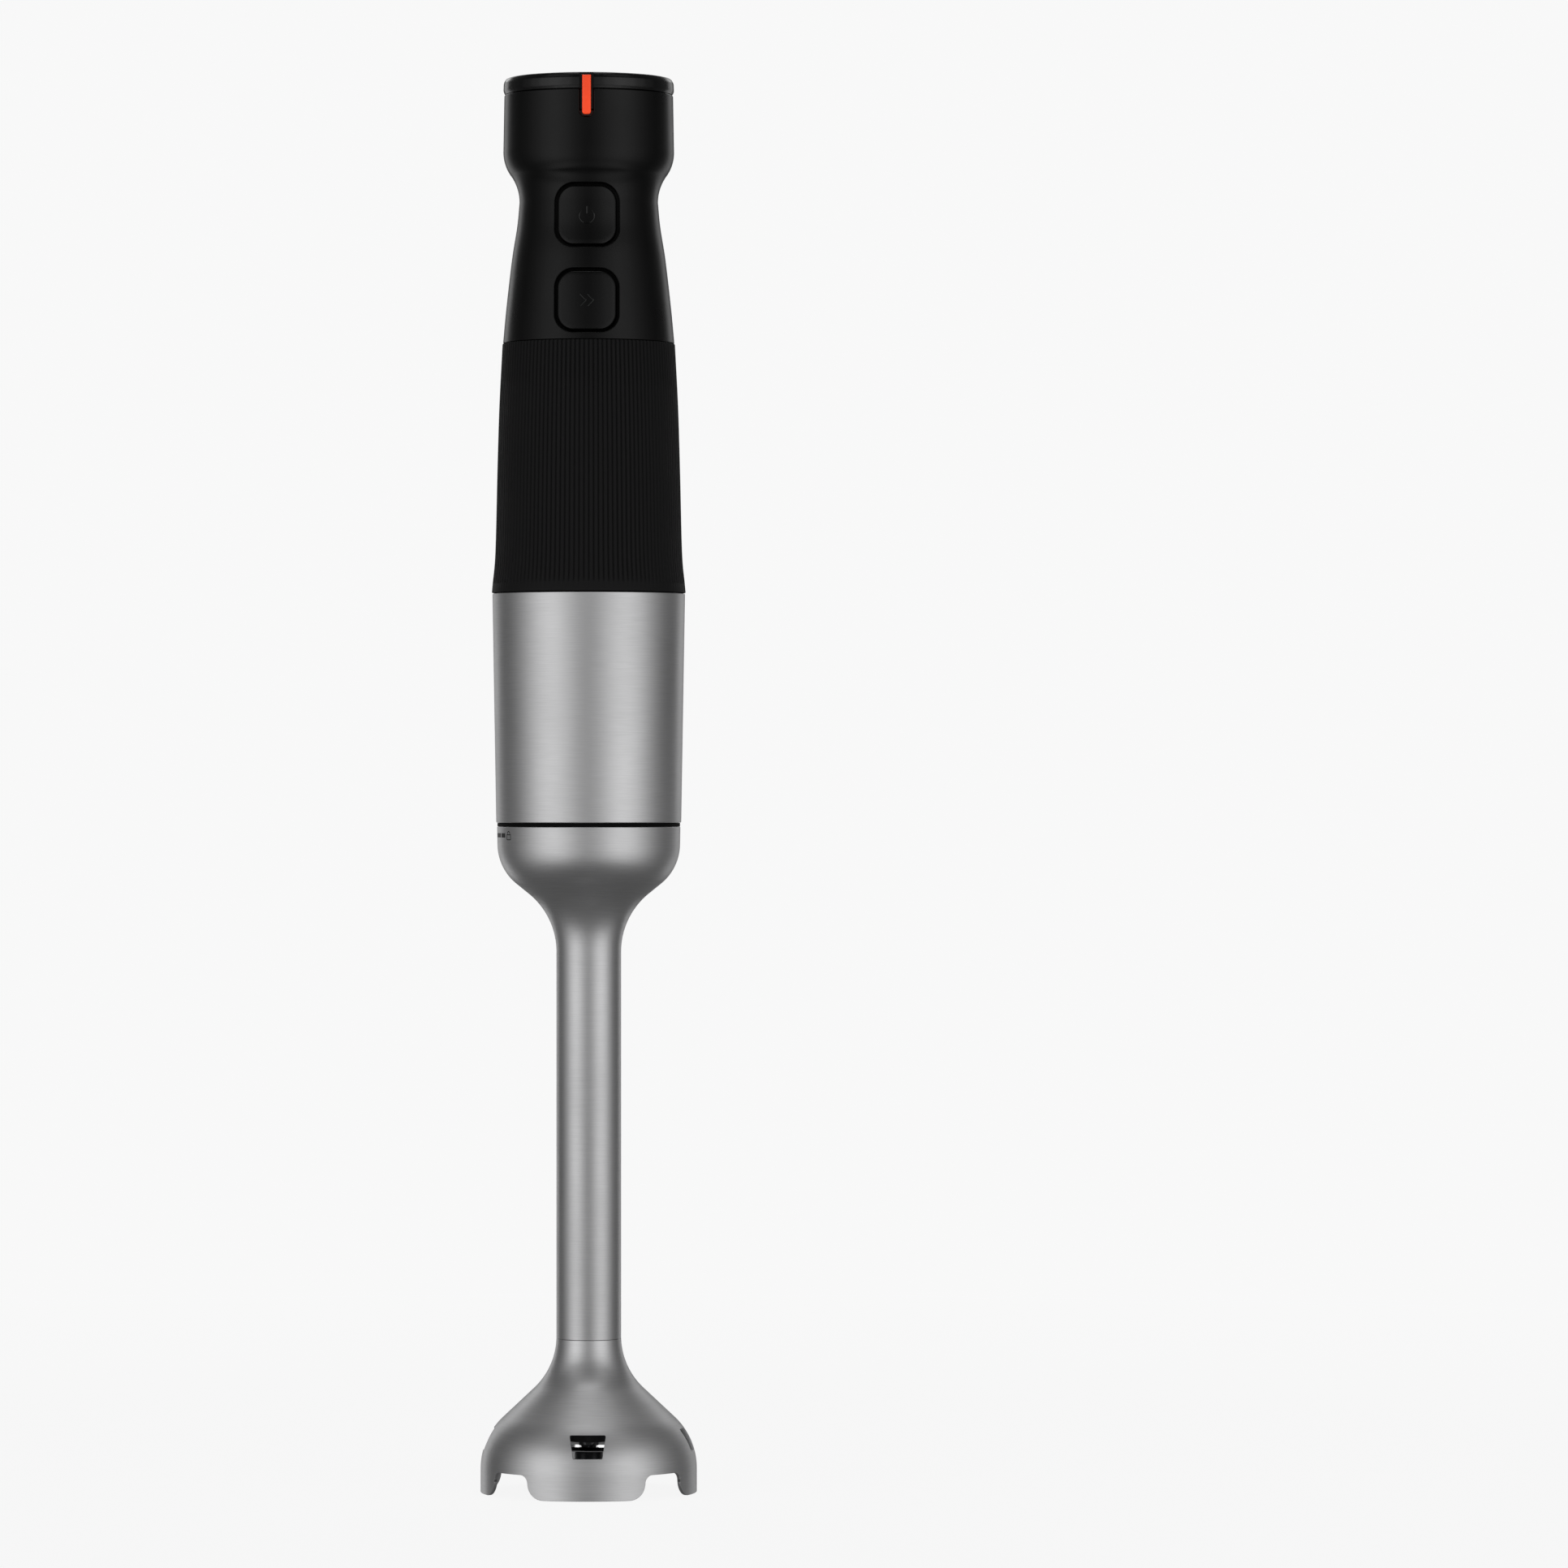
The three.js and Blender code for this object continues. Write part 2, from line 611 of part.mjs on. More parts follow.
// Laminated ring with two pole necks and two pole shoes.
function statorCore() {
  const { bottom, top } = STACK;
  const ring = tube(STATOR_RADIUS, 20.5, bottom, top, FRAME_FACETS);
  const poles = [0, 180].flatMap((at) => [
    sector(POLE.inner, POLE.outer, at, POLE.width, bottom, top),
    block([14.0, 21.0], [-POLE.neckHalf, POLE.neckHalf], [bottom, top]).rotateZ(radians(at)),
  ]);
  return join(ring, ...poles);
}

// The pieces of a pair are made on the right and turned half round for the left.
function onSide(geometry, side) {
  return geometry.rotateZ(side > 0 ? 0 : Math.PI);
}

function fieldCoil(side) {
  const room = POLE.neckHalf + GAP;
  const outside = block([COIL.inner, COIL.outer], [-COIL.half, COIL.half], [COIL.bottom, COIL.top]);
  const height = [STACK.bottom - GAP, STACK.top + GAP];
  const window = block([COIL.inner - 1, COIL.outer + 1], [-room, room], height);
  return onSide(cut(outside, window), side);
}

// A block that is square seen along the brush.
function brushBlock(from, to, half) {
  return block([from, to], [-half, half], [BRUSH.middle - half, BRUSH.middle + half]);
}

function brushHolder(side) {
  const { inner, outer, guideHalf, holderHalf } = BRUSH;
  const guide = brushBlock(inner, outer + 0.8, guideHalf);
  return onSide(cut(brushBlock(10.0, outer + 1.5, holderHalf), guide), side);
}

function carbonBrush(side) {
  return onSide(brushBlock(BRUSH.inner, BRUSH.outer, BRUSH.half), side);
}

add("motor_frame_lower", lowerFrame(), WHITE_PLASTIC);
add("motor_frame_upper", upperFrame(), WHITE_PLASTIC);
add("stator_core", statorCore(), LAMINATION);
add("lower_bearing", bearing(BEARING.lower), BRASS);
add("upper_bearing", bearing(BEARING.upper), BRASS);
for (const [name, side] of [["left", -1], ["right", 1]]) {
  add(`field_coil_${name}`, fieldCoil(side), COPPER);
  add(`brush_holder_${name}`, brushHolder(side), BRASS);
  add(`carbon_brush_${name}`, carbonBrush(side), CARBON);
}

// ---------------------------------------------------------------- motor: turning parts

const SLOTS = { count: 8, depth: 5.0, width: 2.4 };
const ROTOR_RADIUS = 12.0;

function slotBars(width, inner, outer, bottom, top) {
  return around(SLOTS.count, 15, (at) =>
    block([inner, outer], [-width / 2, width / 2], [bottom, top]).rotateZ(radians(at)),
  );
}

function rotorCore() {
  const core = tube(ROTOR_RADIUS, MOTOR_SHAFT_RADIUS + GAP, STACK.bottom, STACK.top, FRAME_FACETS);
  const floor = ROTOR_RADIUS - SLOTS.depth;
  return cut(core, ...slotBars(SLOTS.width, floor, 14, STACK.bottom - 1, STACK.top + 1));
}

// Two end bundles, joined by the wires that lie in the slots of the core.
function rotorWinding() {
  const inner = MOTOR_SHAFT_RADIUS + GAP;
  const bundle = 5.5;
  const lower = tube(11.0, inner, STACK.bottom - bundle, STACK.bottom - GAP);
  const upper = tube(11.0, inner, STACK.top + GAP, STACK.top + bundle);
  const wires = slotBars(SLOTS.width - 2 * GAP, 7.4, 10.8, STACK.bottom - 3, STACK.top + 4);
  return join(lower, upper, ...wires);
}

// A disc with straight vanes on its upper face.
function coolingFan() {
  const { radius, hub, disc, vaneTop, hubTop, vanes } = FAN;
  const plate = tube(radius, hub - 1, disc, disc + 1.2, FRAME_FACETS);
  const boss = tube(hub, MOTOR_SHAFT_RADIUS + GAP, disc, hubTop);
  const vane = (at) => {
    const blank = block([hub - 0.5, radius - 0.4], [-0.5, 0.5], [disc + 0.8, vaneTop]);
    return blank.rotateZ(radians(at));
  };
  return join(plate, boss, ...around(vanes, 0, vane));
}

function commutator() {
  return tube(COMMUTATOR.radius, MOTOR_SHAFT_RADIUS + GAP, COMMUTATOR.bottom, COMMUTATOR.top, 16);
}

// Upper half of the drive coupling: a hub with two lugs that reach down between the lugs of the lower half.
function driveDog() {
  const bore = rod(MOTOR_SHAFT_RADIUS + GAP, MOTOR_SHAFT.bottom - GAP, DOG.hubTop + 1);
  const hub = cut(rod(DOG.radius, DOG.top, DOG.hubTop), bore);
  const lugs = [0, 180].map((at) => sector(3.5, DOG.radius, at, DOG.lugWidth, DOG.bottom, DOG.top + 1));
  return join(hub, ...lugs);
}

add("motor_shaft", rod(MOTOR_SHAFT_RADIUS, MOTOR_SHAFT.bottom, MOTOR_SHAFT.top), POLISHED);
add("rotor_core", rotorCore(), LAMINATION);
add("rotor_winding", rotorWinding(), COPPER);
add("commutator", commutator(), COPPER);
add("cooling_fan", coolingFan(), GREY_PLASTIC);
add("drive_dog", driveDog(), WHITE_PLASTIC);

// ---------------------------------------------------------------- bayonet coupling

function couplingFlange() {
  const body = turned(
    [
      [FLANGE.bore, FLANGE.bottom],
      [SPIGOT.inner, FLANGE.bottom],
      [SPIGOT.inner, SPIGOT.bottom],
      [SPIGOT.outer, SPIGOT.bottom],
      [SPIGOT.outer, FLANGE.bottom],
      [FLANGE.outer, FLANGE.bottom],
      [FLANGE.outer, FLANGE.top],
      [FLANGE.bore, FLANGE.top],
    ],
    FRAME_FACETS,
  );
  const [low, high] = LUG.spigotZ;
  const lugs = around(LUG.count, 0, (at) => sector(18.5, 22.5, at, LUG.width, low, high));
  const holes = atScrews(1.8, FLANGE.bottom - 1, FLANGE.top + 1, SMALL_FACETS);
  return cut(join(body, ...lugs), ...holes);
}

function flangeScrew(at) {
  const head = rod(2.8, FLANGE.bottom - 2.2, FLANGE.bottom - GAP, SMALL_FACETS);
  const shank = rod(1.4, FLANGE.bottom - 0.9, 212.5, SMALL_FACETS);
  return onCircle(join(head, shank), SCREWS.circle, at);
}

function couplingSeal() {
  return tube(SEAL_RADIUS, SPIGOT.outer + 0.4, LEG_TOP + GAP, SLEEVE_BOTTOM - GAP, FRAME_FACETS);
}

// Plastic cup in the top of the leg. Its inward lugs turn in over the outward lugs of the spigot.
function legSocket() {
  const outerRound = round(CUP_ROUND.centre, CUP_ROUND.radius - LEG_WALL - GAP, -47, 0, 4);
  const body = turned(
    [
      [10.0, 184.6],
      ...outerRound,
      [CUP_ROUND.centre[0] + CUP_ROUND.radius - LEG_WALL - GAP, 199.8],
      [23.0, 199.8],
      [23.0, 187.6],
      [10.0, 187.6],
    ],
    FRAME_FACETS,
  );
  const [low, high] = LUG.socketZ;
  const lugs = around(LUG.count, 0, (at) => sector(20.4, 23.6, at, LUG.width, low, high));
  return join(body, ...lugs);
}

add("coupling_flange", couplingFlange(), GREY_PLASTIC);
around(SCREWS.count, SCREWS.first, (at, i) => add(`flange_screw_${i + 1}`, flangeScrew(at), STEEL));
add("coupling_seal", couplingSeal(), RUBBER);
add("leg_socket", legSocket(), GREY_PLASTIC);

// ---------------------------------------------------------------- leg

const BUSH_BORE = DRIVE_SHAFT_RADIUS + GAP;
const LINER = { outer: 8.4, inner: 6.5, bottom: 50.6, top: 172.0 };
const BUSH_HEIGHT = 8.0;
const UPPER_BUSH = 162.0;
const MIDDLE_BUSH = 104.0;
const WASHER = { bottom: UPPER_BUSH + BUSH_HEIGHT + GAP, thickness: 0.8 };

// A ring that sits in the tube's bore, round the drive shaft.
function linerRing(bottom, height) {
  return tube(LINER.inner - GAP, BUSH_BORE, bottom, bottom + height);
}

// A thin split ring on the shaft, just above the thrust washer.
function retainingClip() {
  const bottom = WASHER.bottom + WASHER.thickness + GAP;
  const split = block([-1.2, 1.2], [0, 6], [bottom - 1, bottom + 2]);
  return cut(tube(4.8, BUSH_BORE, bottom, bottom + 0.8), split);
}

add("leg_shell", shell(legOutline(), legOutline(LEG_WALL, 3)), STEEL);
add("liner_tube", tube(LINER.outer, LINER.inner, LINER.bottom, LINER.top, 16), WHITE_PLASTIC);
add("upper_bush", linerRing(UPPER_BUSH, BUSH_HEIGHT), BRASS);
add("middle_bush", linerRing(MIDDLE_BUSH, BUSH_HEIGHT), BRASS);
add("thrust_washer", linerRing(WASHER.bottom, WASHER.thickness), STEEL);

// ---------------------------------------------------------------- bell guard

function notchShape() {
  const { halfWidth, top, innerRound, footRound } = NOTCH;
  const shape = new THREE.Shape();
  shape.moveTo(-halfWidth - footRound, -1);
  shape.absarc(-halfWidth - footRound, footRound, footRound, 1.5 * Math.PI, 2 * Math.PI);
  shape.absarc(innerRound - halfWidth, top - innerRound, innerRound, Math.PI, Math.PI / 2, true);
  shape.absarc(halfWidth - innerRound, top - innerRound, innerRound, Math.PI / 2, 0, true);
  shape.absarc(halfWidth + footRound, footRound, footRound, Math.PI, 1.5 * Math.PI);
  shape.lineTo(halfWidth + footRound, -1);
  return shape;
}

function bellGuard() {
  const inner = bellOutline(BELL_WALL, 3);
  const skin = shell(bellOutline(), inner);
  const { bottom, top, halfBottom, halfTop } = WINDOW;
  const windowShape = polygon([
    [-halfBottom, bottom],
    [halfBottom, bottom],
    [halfTop, top],
    [-halfTop, top],
  ]);
  const windows = WINDOW.at.map((at) => facing(windowShape, -40, -20).rotateZ(radians(at)));
  const notches = NOTCH.at.map((at) => facing(notchShape(), -40, -15).rotateZ(radians(at)));
  return cut(skin, ...windows, ...notches);
}

// Plastic hub that carries the lower bush and the shaft seal. A collar round the shaft reaches down to the
// blade, and its neck reaches up into the tube.
function bearingCarrier() {
  return turned(
    [
      [5.3, 15.2],
      [6.4, 15.2],
      [6.4, 18.6],
      [9.4, 18.6],
      [10.4, 19.6],
      [10.4, 25.0],
      [8.2, 29.0],
      [8.2, 50.3],
      [5.3, 50.3],
    ],
    FRAME_FACETS,
  );
}

add("bell_guard", bellGuard(), STEEL);
add("bearing_carrier", bearingCarrier(), GREY_PLASTIC);
add("lower_bush", tube(5.0, BUSH_BORE, 24.0, 34.0), BRASS);
add("shaft_seal", tube(5.0, BUSH_BORE, 19.0, 23.7), RUBBER);

// ---------------------------------------------------------------- blade shaft

function driveShaft() {
  const { bottom, top, studRadius } = DRIVE_SHAFT;
  return turned([
    [0, bottom],
    [studRadius, bottom],
    [studRadius, BLADE.top + GAP],
    [DRIVE_SHAFT_RADIUS, BLADE.top + GAP],
    [DRIVE_SHAFT_RADIUS, top],
    [0, top],
  ]);
}

// Lower half of the drive coupling, with its lugs a quarter turn away from those of the upper half.
function drivenDog() {
  const blank = rod(DOG.radius + 0.4, DOG.hubBottom, DOG.bottom - GAP);
  const hub = cut(blank, rod(BUSH_BORE, DOG.hubBottom - 1, DRIVE_SHAFT.top + GAP));
  const lugs = [90, 270].map((at) =>
    sector(3.5, DOG.radius, at, DOG.lugWidth, DOG.bottom - 1, DOG.top - GAP),
  );
  return join(hub, ...lugs);
}

// Sickle-shaped wings: one tip turns down and the other turns up.
function blade() {
  const { top, thickness, reach, tip, chord, drop, rise } = BLADE;
  const plan = new THREE.Shape();
  plan.moveTo(0, -chord);
  plan.quadraticCurveTo(reach * 0.62, -chord, reach, tip * 0.3);
  plan.lineTo(reach * 0.9, tip);
  plan.quadraticCurveTo(reach * 0.5, chord * 0.5, 0, chord);
  plan.quadraticCurveTo(-reach * 0.62, chord, -reach, -tip * 0.3);
  plan.lineTo(-reach * 0.9, -tip);
  plan.quadraticCurveTo(-reach * 0.5, -chord * 0.5, 0, -chord);
  const flat = 8;
  const side = polygon([
    [-reach - 1, top + rise],
    [-reach - 1, top + rise - thickness],
    [-flat, top - thickness],
    [flat, top - thickness],
    [reach + 1, top - drop - thickness],
    [reach + 1, top - drop],
    [flat, top],
    [-flat, top],
  ]);
  const bent = facing(side, -chord - 1, chord + 1);
  const bore = rod(DRIVE_SHAFT.studRadius + GAP, top - 3, top + 3);
  return cut(common(bent, upright(plan, top - 8, top + 8, 5)), bore);
}

// Domed nut under the blade.
function bladeNut() {
  const bore = DRIVE_SHAFT.studRadius + GAP;
  const top = BLADE.top - BLADE.thickness - GAP;
  return turned([
    [0, 7.6],
    [2.6, 7.9],
    [4.2, 9.4],
    [4.2, top],
    [bore, top],
    [bore, 8.9],
    [0, 8.9],
  ]);
}

add("drive_shaft", driveShaft(), POLISHED);
add("driven_dog", drivenDog(), WHITE_PLASTIC);
add("retaining_clip", retainingClip(), STEEL);
add("blade", blade(), POLISHED);
add("blade_nut", bladeNut(), STEEL);

export default parts;
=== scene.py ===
import json
import math

import bmesh
import bpy
import numpy as np
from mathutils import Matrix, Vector
from mathutils.geometry import delaunay_2d_cdt


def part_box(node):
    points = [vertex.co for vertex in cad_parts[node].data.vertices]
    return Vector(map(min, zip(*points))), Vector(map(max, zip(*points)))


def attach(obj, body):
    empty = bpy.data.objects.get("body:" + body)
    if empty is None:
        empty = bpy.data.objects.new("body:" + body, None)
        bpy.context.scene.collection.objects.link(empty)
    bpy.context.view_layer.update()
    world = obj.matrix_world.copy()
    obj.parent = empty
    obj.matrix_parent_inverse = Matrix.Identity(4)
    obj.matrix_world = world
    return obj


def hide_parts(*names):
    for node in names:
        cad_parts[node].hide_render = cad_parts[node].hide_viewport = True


# Immersion blender. Shapes are drawn in millimetres, in the frame's axes: +Z up, the front faces -Y.
# An outline is a list of (radius, height) points, and azimuth 0 is the front, counted towards +X.

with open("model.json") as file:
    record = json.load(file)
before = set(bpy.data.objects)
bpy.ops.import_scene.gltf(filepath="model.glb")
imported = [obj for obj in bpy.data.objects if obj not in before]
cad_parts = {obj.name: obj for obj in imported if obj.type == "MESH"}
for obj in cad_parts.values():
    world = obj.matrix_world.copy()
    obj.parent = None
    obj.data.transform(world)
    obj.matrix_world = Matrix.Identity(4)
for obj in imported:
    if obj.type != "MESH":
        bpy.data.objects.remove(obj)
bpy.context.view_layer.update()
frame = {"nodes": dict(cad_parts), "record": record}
MM = 0.001

BODY_OF = {node: body for body, nodes in frame["record"]["behaviour"]["bodies"].items() for node in nodes}
SLOT_OF = {part["node"]: part["material_slot"] for part in frame["record"]["subparts"]}


def bottom(node):
    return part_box(node)[0].z / MM


def top(node):
    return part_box(node)[1].z / MM


def reach(node):
    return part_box(node)[1].x / MM


# ---------------------------------------------------------------- driving dimensions

# Clearance between pieces, and the finer gap of a seam that shows.
GAP = 0.3
SEAM = 0.06
ROUND_SEGMENTS = 192
SMALL_SEGMENTS = 64

BELL_RIM = {"centre": (11.55, 7.0), "radius": 21.0, "turn": 46}
BELL_NECK = {"centre": (31.24, 46.8), "radius": 21.5, "turn": 46}
BELL_WALL = 1.2
BELL_MESH = {"seam": 16, "columns": 240}
NOTCH = {"at": (45.6, 134.4, 225.6, 314.4), "half": 7.2, "top": 7.3, "inner": 2.5, "foot": 5.0}
WINDOW = {"at": (0.9, 85, 180, 270), "bottom": 12.5, "top": 19.3, "round": 0.5}
WINDOW_HALF = {"bottom": 4.35, "top": 5.4}
CARRIER = {"bore": 5.3, "collar": 6.4, "plate": 10.4, "stem": 8.2, "low": 15.2, "high": 50.3}

CUP_ROUND = {"centre": (12.0, 195.0), "radius": 15.5, "turn": 52.5}
CUP_NECK = {"centre": (32.24, 162.5), "radius": 22.5, "turn": 52.5}
TUBE_RADIUS = 9.74
CUP_RIM = 27.5
LEG_WALL = 1.0
PRINT = {"height": 197.6, "bar": 1.3, "line": 0.25, "lift": 0.02, "depth": 0.1}
SLEEVE = {"foot": 27.85, "wall": 0.8, "round": 0.4, "extra": 0.25}

NECK = {"radius": 20.84, "z": 388.0, "round": 14.0, "turn": 35}
SHOULDER = {"radius": 25.7, "z": 403.1, "round": 12.0, "turn": 35}
CAP = {"top": 420.2, "radius": 25.4, "wall": 2.2}
SKIRT = {"bottom": 262.0, "low": 26.4, "high": 23.3, "wall": 2.0}

GRIP_RIBS = {"count": 120, "depth": 0.42, "groove": 0.5, "samples": 8}
GRIP_BAND = {"height": 2.6, "fade": 0.8}
BEZEL = {"bore": 21.2, "lip": 22.0, "base": 22.9, "belly": 25.68}
BUTTON = {"opening": 19.3, "side": 17.6, "corner": 5.0, "flange": 20.6, "sink": 0.05, "fillet": 0.6}
BUTTON_FLANGE = {"front": -14.8, "back": -13.3}
BUTTON_HEIGHTS = {"power": 382.8, "turbo": 357.2}
MARKER = {"width": 2.6, "bottom": 412.5, "top": 424.2, "face": 25.75, "back": 24.5}
MARKER |= {"gap": 0.85, "round": 0.8, "edge": 0.35}
CORD = {"z": 404.9, "hole": 4.8, "collar": 6.5, "bore": 3.2, "end": 28.0}
GLAND = {"flange": 5.6, "neck": 4.4, "inner_end": 18.8, "flange_end": 21.0, "neck_end": 24.2}
DIAL = {"low": 417.9, "base": 419.9, "roof": 421.0, "dish": 422.2, "rim": 424.4}
DIAL |= {"radius": 20.7, "bore": 3.3, "socket": 4.9}
GRIP_BAR = {"half_length": 12.4, "round": 2.6, "low": 421.6, "high": 424.6}
NUMBERS = {"size": 3.2, "radius": 18.1, "height": 424.3, "thickness": 0.12, "step": 60}

SPIGOT = {"inner": 16.8, "outer": 20.0, "bore": 9.0, "disc": 26.6}
SPIGOT |= {"low": 189.0, "base": 201.9, "high": 205.5}
FLANGE_HOLES = {"at": (90, 210, 330), "circle": 13.0, "radius": 1.8}
LUG_WIDTH = 24
SPIGOT_LUG = {"inner": 18.5, "outer": 22.5, "low": 191.5, "high": 194.0}
SOCKET_LUG = {"inner": 20.4, "outer": 23.6, "low": 194.5, "high": 197.0}
SOCKET = {"bore": 10.0, "wall": 23.0, "low": 184.6, "floor": 187.6, "high": 199.8}
DOG_LUG = {"inner": 3.5, "outer": 8.0, "width": 40}
DRIVE_DOG = {"low": 194.5, "pocket": 195.7, "high": 203.5, "bore": 2.8, "tip": 188.5}
DRIVEN_DOG = {"low": 180.0, "pocket": 186.8, "high": 188.2, "bore": 3.3, "radius": 8.4, "tip": 194.2}

BLADE = {"top": 13.6, "thickness": 1.2, "reach": 22.5, "tip": 5.0, "chord": 6.5, "drop": 3.6, "rise": 4.2}
BLADE_FLAT = 8.0
BLADE_EDGE = {"bevel": 1.5, "land": 0.25, "round": 0.1, "hole": 2.5}
NUT = {"low": 7.6, "seat": 12.1, "radius": 4.2, "bore": 2.5, "pocket": 8.9}
SHAFT = {"low": 9.2, "shoulder": 13.9, "high": 186.5, "stem": 2.2, "radius": 3.0}
MESH_STEP = 0.9

# ---------------------------------------------------------------- outlines


def arc(centre, radius, start, end, steps=16):
    """Points of an arc, from one angle to another, in degrees."""
    angles = np.radians(np.linspace(start, end, steps + 1))
    return [(centre[0] + radius * math.cos(a), centre[1] + radius * math.sin(a)) for a in angles]


def resampled(outline, step):
    """The same outline, with no stretch longer than step."""
    points = [tuple(outline[0])]
    for start, end in zip(outline, outline[1:]):
        count = max(1, math.ceil(math.dist(start, end) / step))
        way = np.array(end) - start
        points += [tuple(start + way * k / count) for k in range(1, count + 1)]
    return points


def rounded(corners, radius, steps=4, closed=True):
    """An outline with each corner rounded. A corner is (r, z) or (r, z, its own radius)."""
    points = []
    count = len(corners)
    for i, corner in enumerate(corners):
        here = np.array(corner[:2], float)
        size = corner[2] if len(corner) > 2 else radius
        if not closed and i in (0, count - 1):
            points.append(tuple(here))
            continue
        before = np.array(corners[i - 1][:2], float) - here
        after = np.array(corners[(i + 1) % count][:2], float) - here
        sizes = (np.linalg.norm(before), np.linalg.norm(after))
        cosine = np.clip(np.dot(before, after) / (sizes[0] * sizes[1]), -1, 1)
        bend = math.pi - math.acos(cosine)
        if bend < 0.05 or size <= 0:
            points.append(tuple(here))
            continue
        back = min(size * math.tan(bend / 2), 0.48 * sizes[0], 0.48 * sizes[1])
        start = here + before / sizes[0] * back
        end = here + after / sizes[1] * back
        for t in np.linspace(0, 1, steps + 1):
            points.append(tuple((1 - t) ** 2 * start + 2 * t * (1 - t) * here + t * t * end))
    return points


def smooth_line(points, steps=6):
    """A Catmull-Rom curve through the points."""
    before = 2 * np.array(points[0]) - points[1]
    after = 2 * np.array(points[-1]) - points[-2]
    padded = [before, *map(np.array, points), after]
    line = []
    for a, b, c, d in zip(padded, padded[1:], padded[2:], padded[3:]):
        for t in np.linspace(0, 1, steps, endpoint=False):
            square = (2 * a - 5 * b + 4 * c - d) * t**2
            cube = (3 * b - a - 3 * c + d) * t**3
            line.append(0.5 * (2 * b + (c - a) * t + square + cube))
    return [tuple(p) for p in line] + [tuple(points[-1])]


def rounded_square(side, corner, margin=0.0, steps=14):
    """A closed loop of (x, z) points, moved outwards by margin, with its sides split so they can bend."""
    half = side / 2 - corner
    loop = []
    for quarter, (sx, sz) in enumerate([(1, 1), (-1, 1), (-1, -1), (1, -1)]):
        loop += arc((sx * half, sz * half), corner + margin, 90 * quarter, 90 * quarter + 90, steps)
    return resampled([*loop, loop[0]], 1.0)[:-1]


def bell_outline():
    foot = (BELL_RIM["centre"][0] + BELL_RIM["radius"], 0.0)
    rim = arc(BELL_RIM["centre"], BELL_RIM["radius"], 0, BELL_RIM["turn"], 24)
    neck = arc(BELL_NECK["centre"], BELL_NECK["radius"], 180 + BELL_NECK["turn"], 182, 24)
    return resampled([foot, *rim, *neck, (TUBE_RADIUS, top("bell_guard"))], 0.9)


def leg_outline(inset=0.0):
    """Outline of the tube and the cup, from the bottom up, moved inwards by inset."""
    neck = arc(CUP_NECK["centre"], CUP_NECK["radius"] + inset, 180, 180 - CUP_NECK["turn"], 32)
    shoulder = arc(CUP_ROUND["centre"], CUP_ROUND["radius"] - inset, -CUP_ROUND["turn"], 0, 32)
    foot = (TUBE_RADIUS - inset, top("bell_guard") + SEAM)
    rim = (reach("leg_shell") - inset, top("leg_shell"))
    return [foot, *neck, *shoulder, rim]


def handle_outline():
    """Outline of the handle above the grip, from the bottom up."""
    foot = bottom("handle_shell") - SKIRT["bottom"] + top("grip_sleeve") + SEAM
    taper = [(25.8, foot), (24.8, 356.2), (23.1, 370.9), (21.55, 380.7), (NECK["radius"], NECK["z"])]
    neck_centre = (NECK["radius"] + NECK["round"], NECK["z"])
    shoulder_centre = (SHOULDER["radius"] - SHOULDER["round"], SHOULDER["z"])
    neck = arc(neck_centre, NECK["round"], 180, 180 - NECK["turn"], 14)
    shoulder = arc(shoulder_centre, SHOULDER["round"], -SHOULDER["turn"], 0, 14)
    return resampled([*smooth_line(taper, 12), *neck[1:], *shoulder, (CAP["radius"], CAP["top"])], 0.9)


# ---------------------------------------------------------------- mesh work


def circle_point(angle, radius, height):
    return (radius * math.sin(angle), -radius * math.cos(angle), height)


class Build:
    """Points and faces in millimetres, which become one mesh."""

    def __init__(self):
        self.points = []
        self.faces = []

    def add(self, points):
        first = len(self.points)
        self.points += [tuple(p) for p in points]
        return list(range(first, len(self.points)))

    def strip(self, one, two, closed=True):
        """Quads between two rows of points that match one to one."""
        count = len(one)
        for i in range(count if closed else count - 1):
            j = (i + 1) % count
            self.faces.append((one[i], one[j], two[j], two[i]))

    def rows(self, loops, closed=True):
        """Quads along a list of rows of points."""
        rows = [self.add(loop) for loop in loops]
        for one, two in zip(rows, rows[1:]):
            self.strip(one, two, closed)
        return rows

    def finish(self, name, sharp=38, quads=False):
        mesh = bpy.data.meshes.new(name)
        bm = bmesh.new()
        corners = [bm.verts.new(Vector(p) * MM) for p in self.points]
        for face in self.faces:
            try:
                bm.faces.new([corners[i] for i in face])
            except ValueError:
                continue
        bmesh.ops.remove_doubles(bm, verts=bm.verts, dist=1e-7)
        bmesh.ops.dissolve_degenerate(bm, dist=1e-8, edges=bm.edges)
        if quads:
            limits = {"angle_face_threshold": 0.3, "angle_shape_threshold": 0.7}
            bmesh.ops.join_triangles(bm, faces=bm.faces, **limits)
        bmesh.ops.recalc_face_normals(bm, faces=bm.faces)
        bm.to_mesh(mesh)
        bm.free()
        mesh.shade_smooth()
        mesh.set_sharp_from_angle(angle=math.radians(sharp))
        piece = bpy.data.objects.new(name, mesh)
        bpy.context.scene.collection.objects.link(piece)
        return piece


def turned(name, outline, segments=ROUND_SEGMENTS, closed=True, sharp=38):
    """A solid of revolution. The outline closes on itself, or starts and ends on the axis."""
    build = Build()
    angles = [2 * math.pi * i / segments for i in range(segments)]
    loop = [*outline, outline[0]] if closed else outline
    build.rows([[circle_point(a, r, z) for a in angles] for r, z in loop])
    return build.finish(name, sharp)


def prism(name, loop, low, high):
    """An upright solid on a closed loop of (x, y) points."""
    build = Build()
    rows = build.rows([[(x, y, height) for x, y in loop] for height in (low, high)])
    build.faces += [tuple(row) for row in rows]
    return build.finish(name)


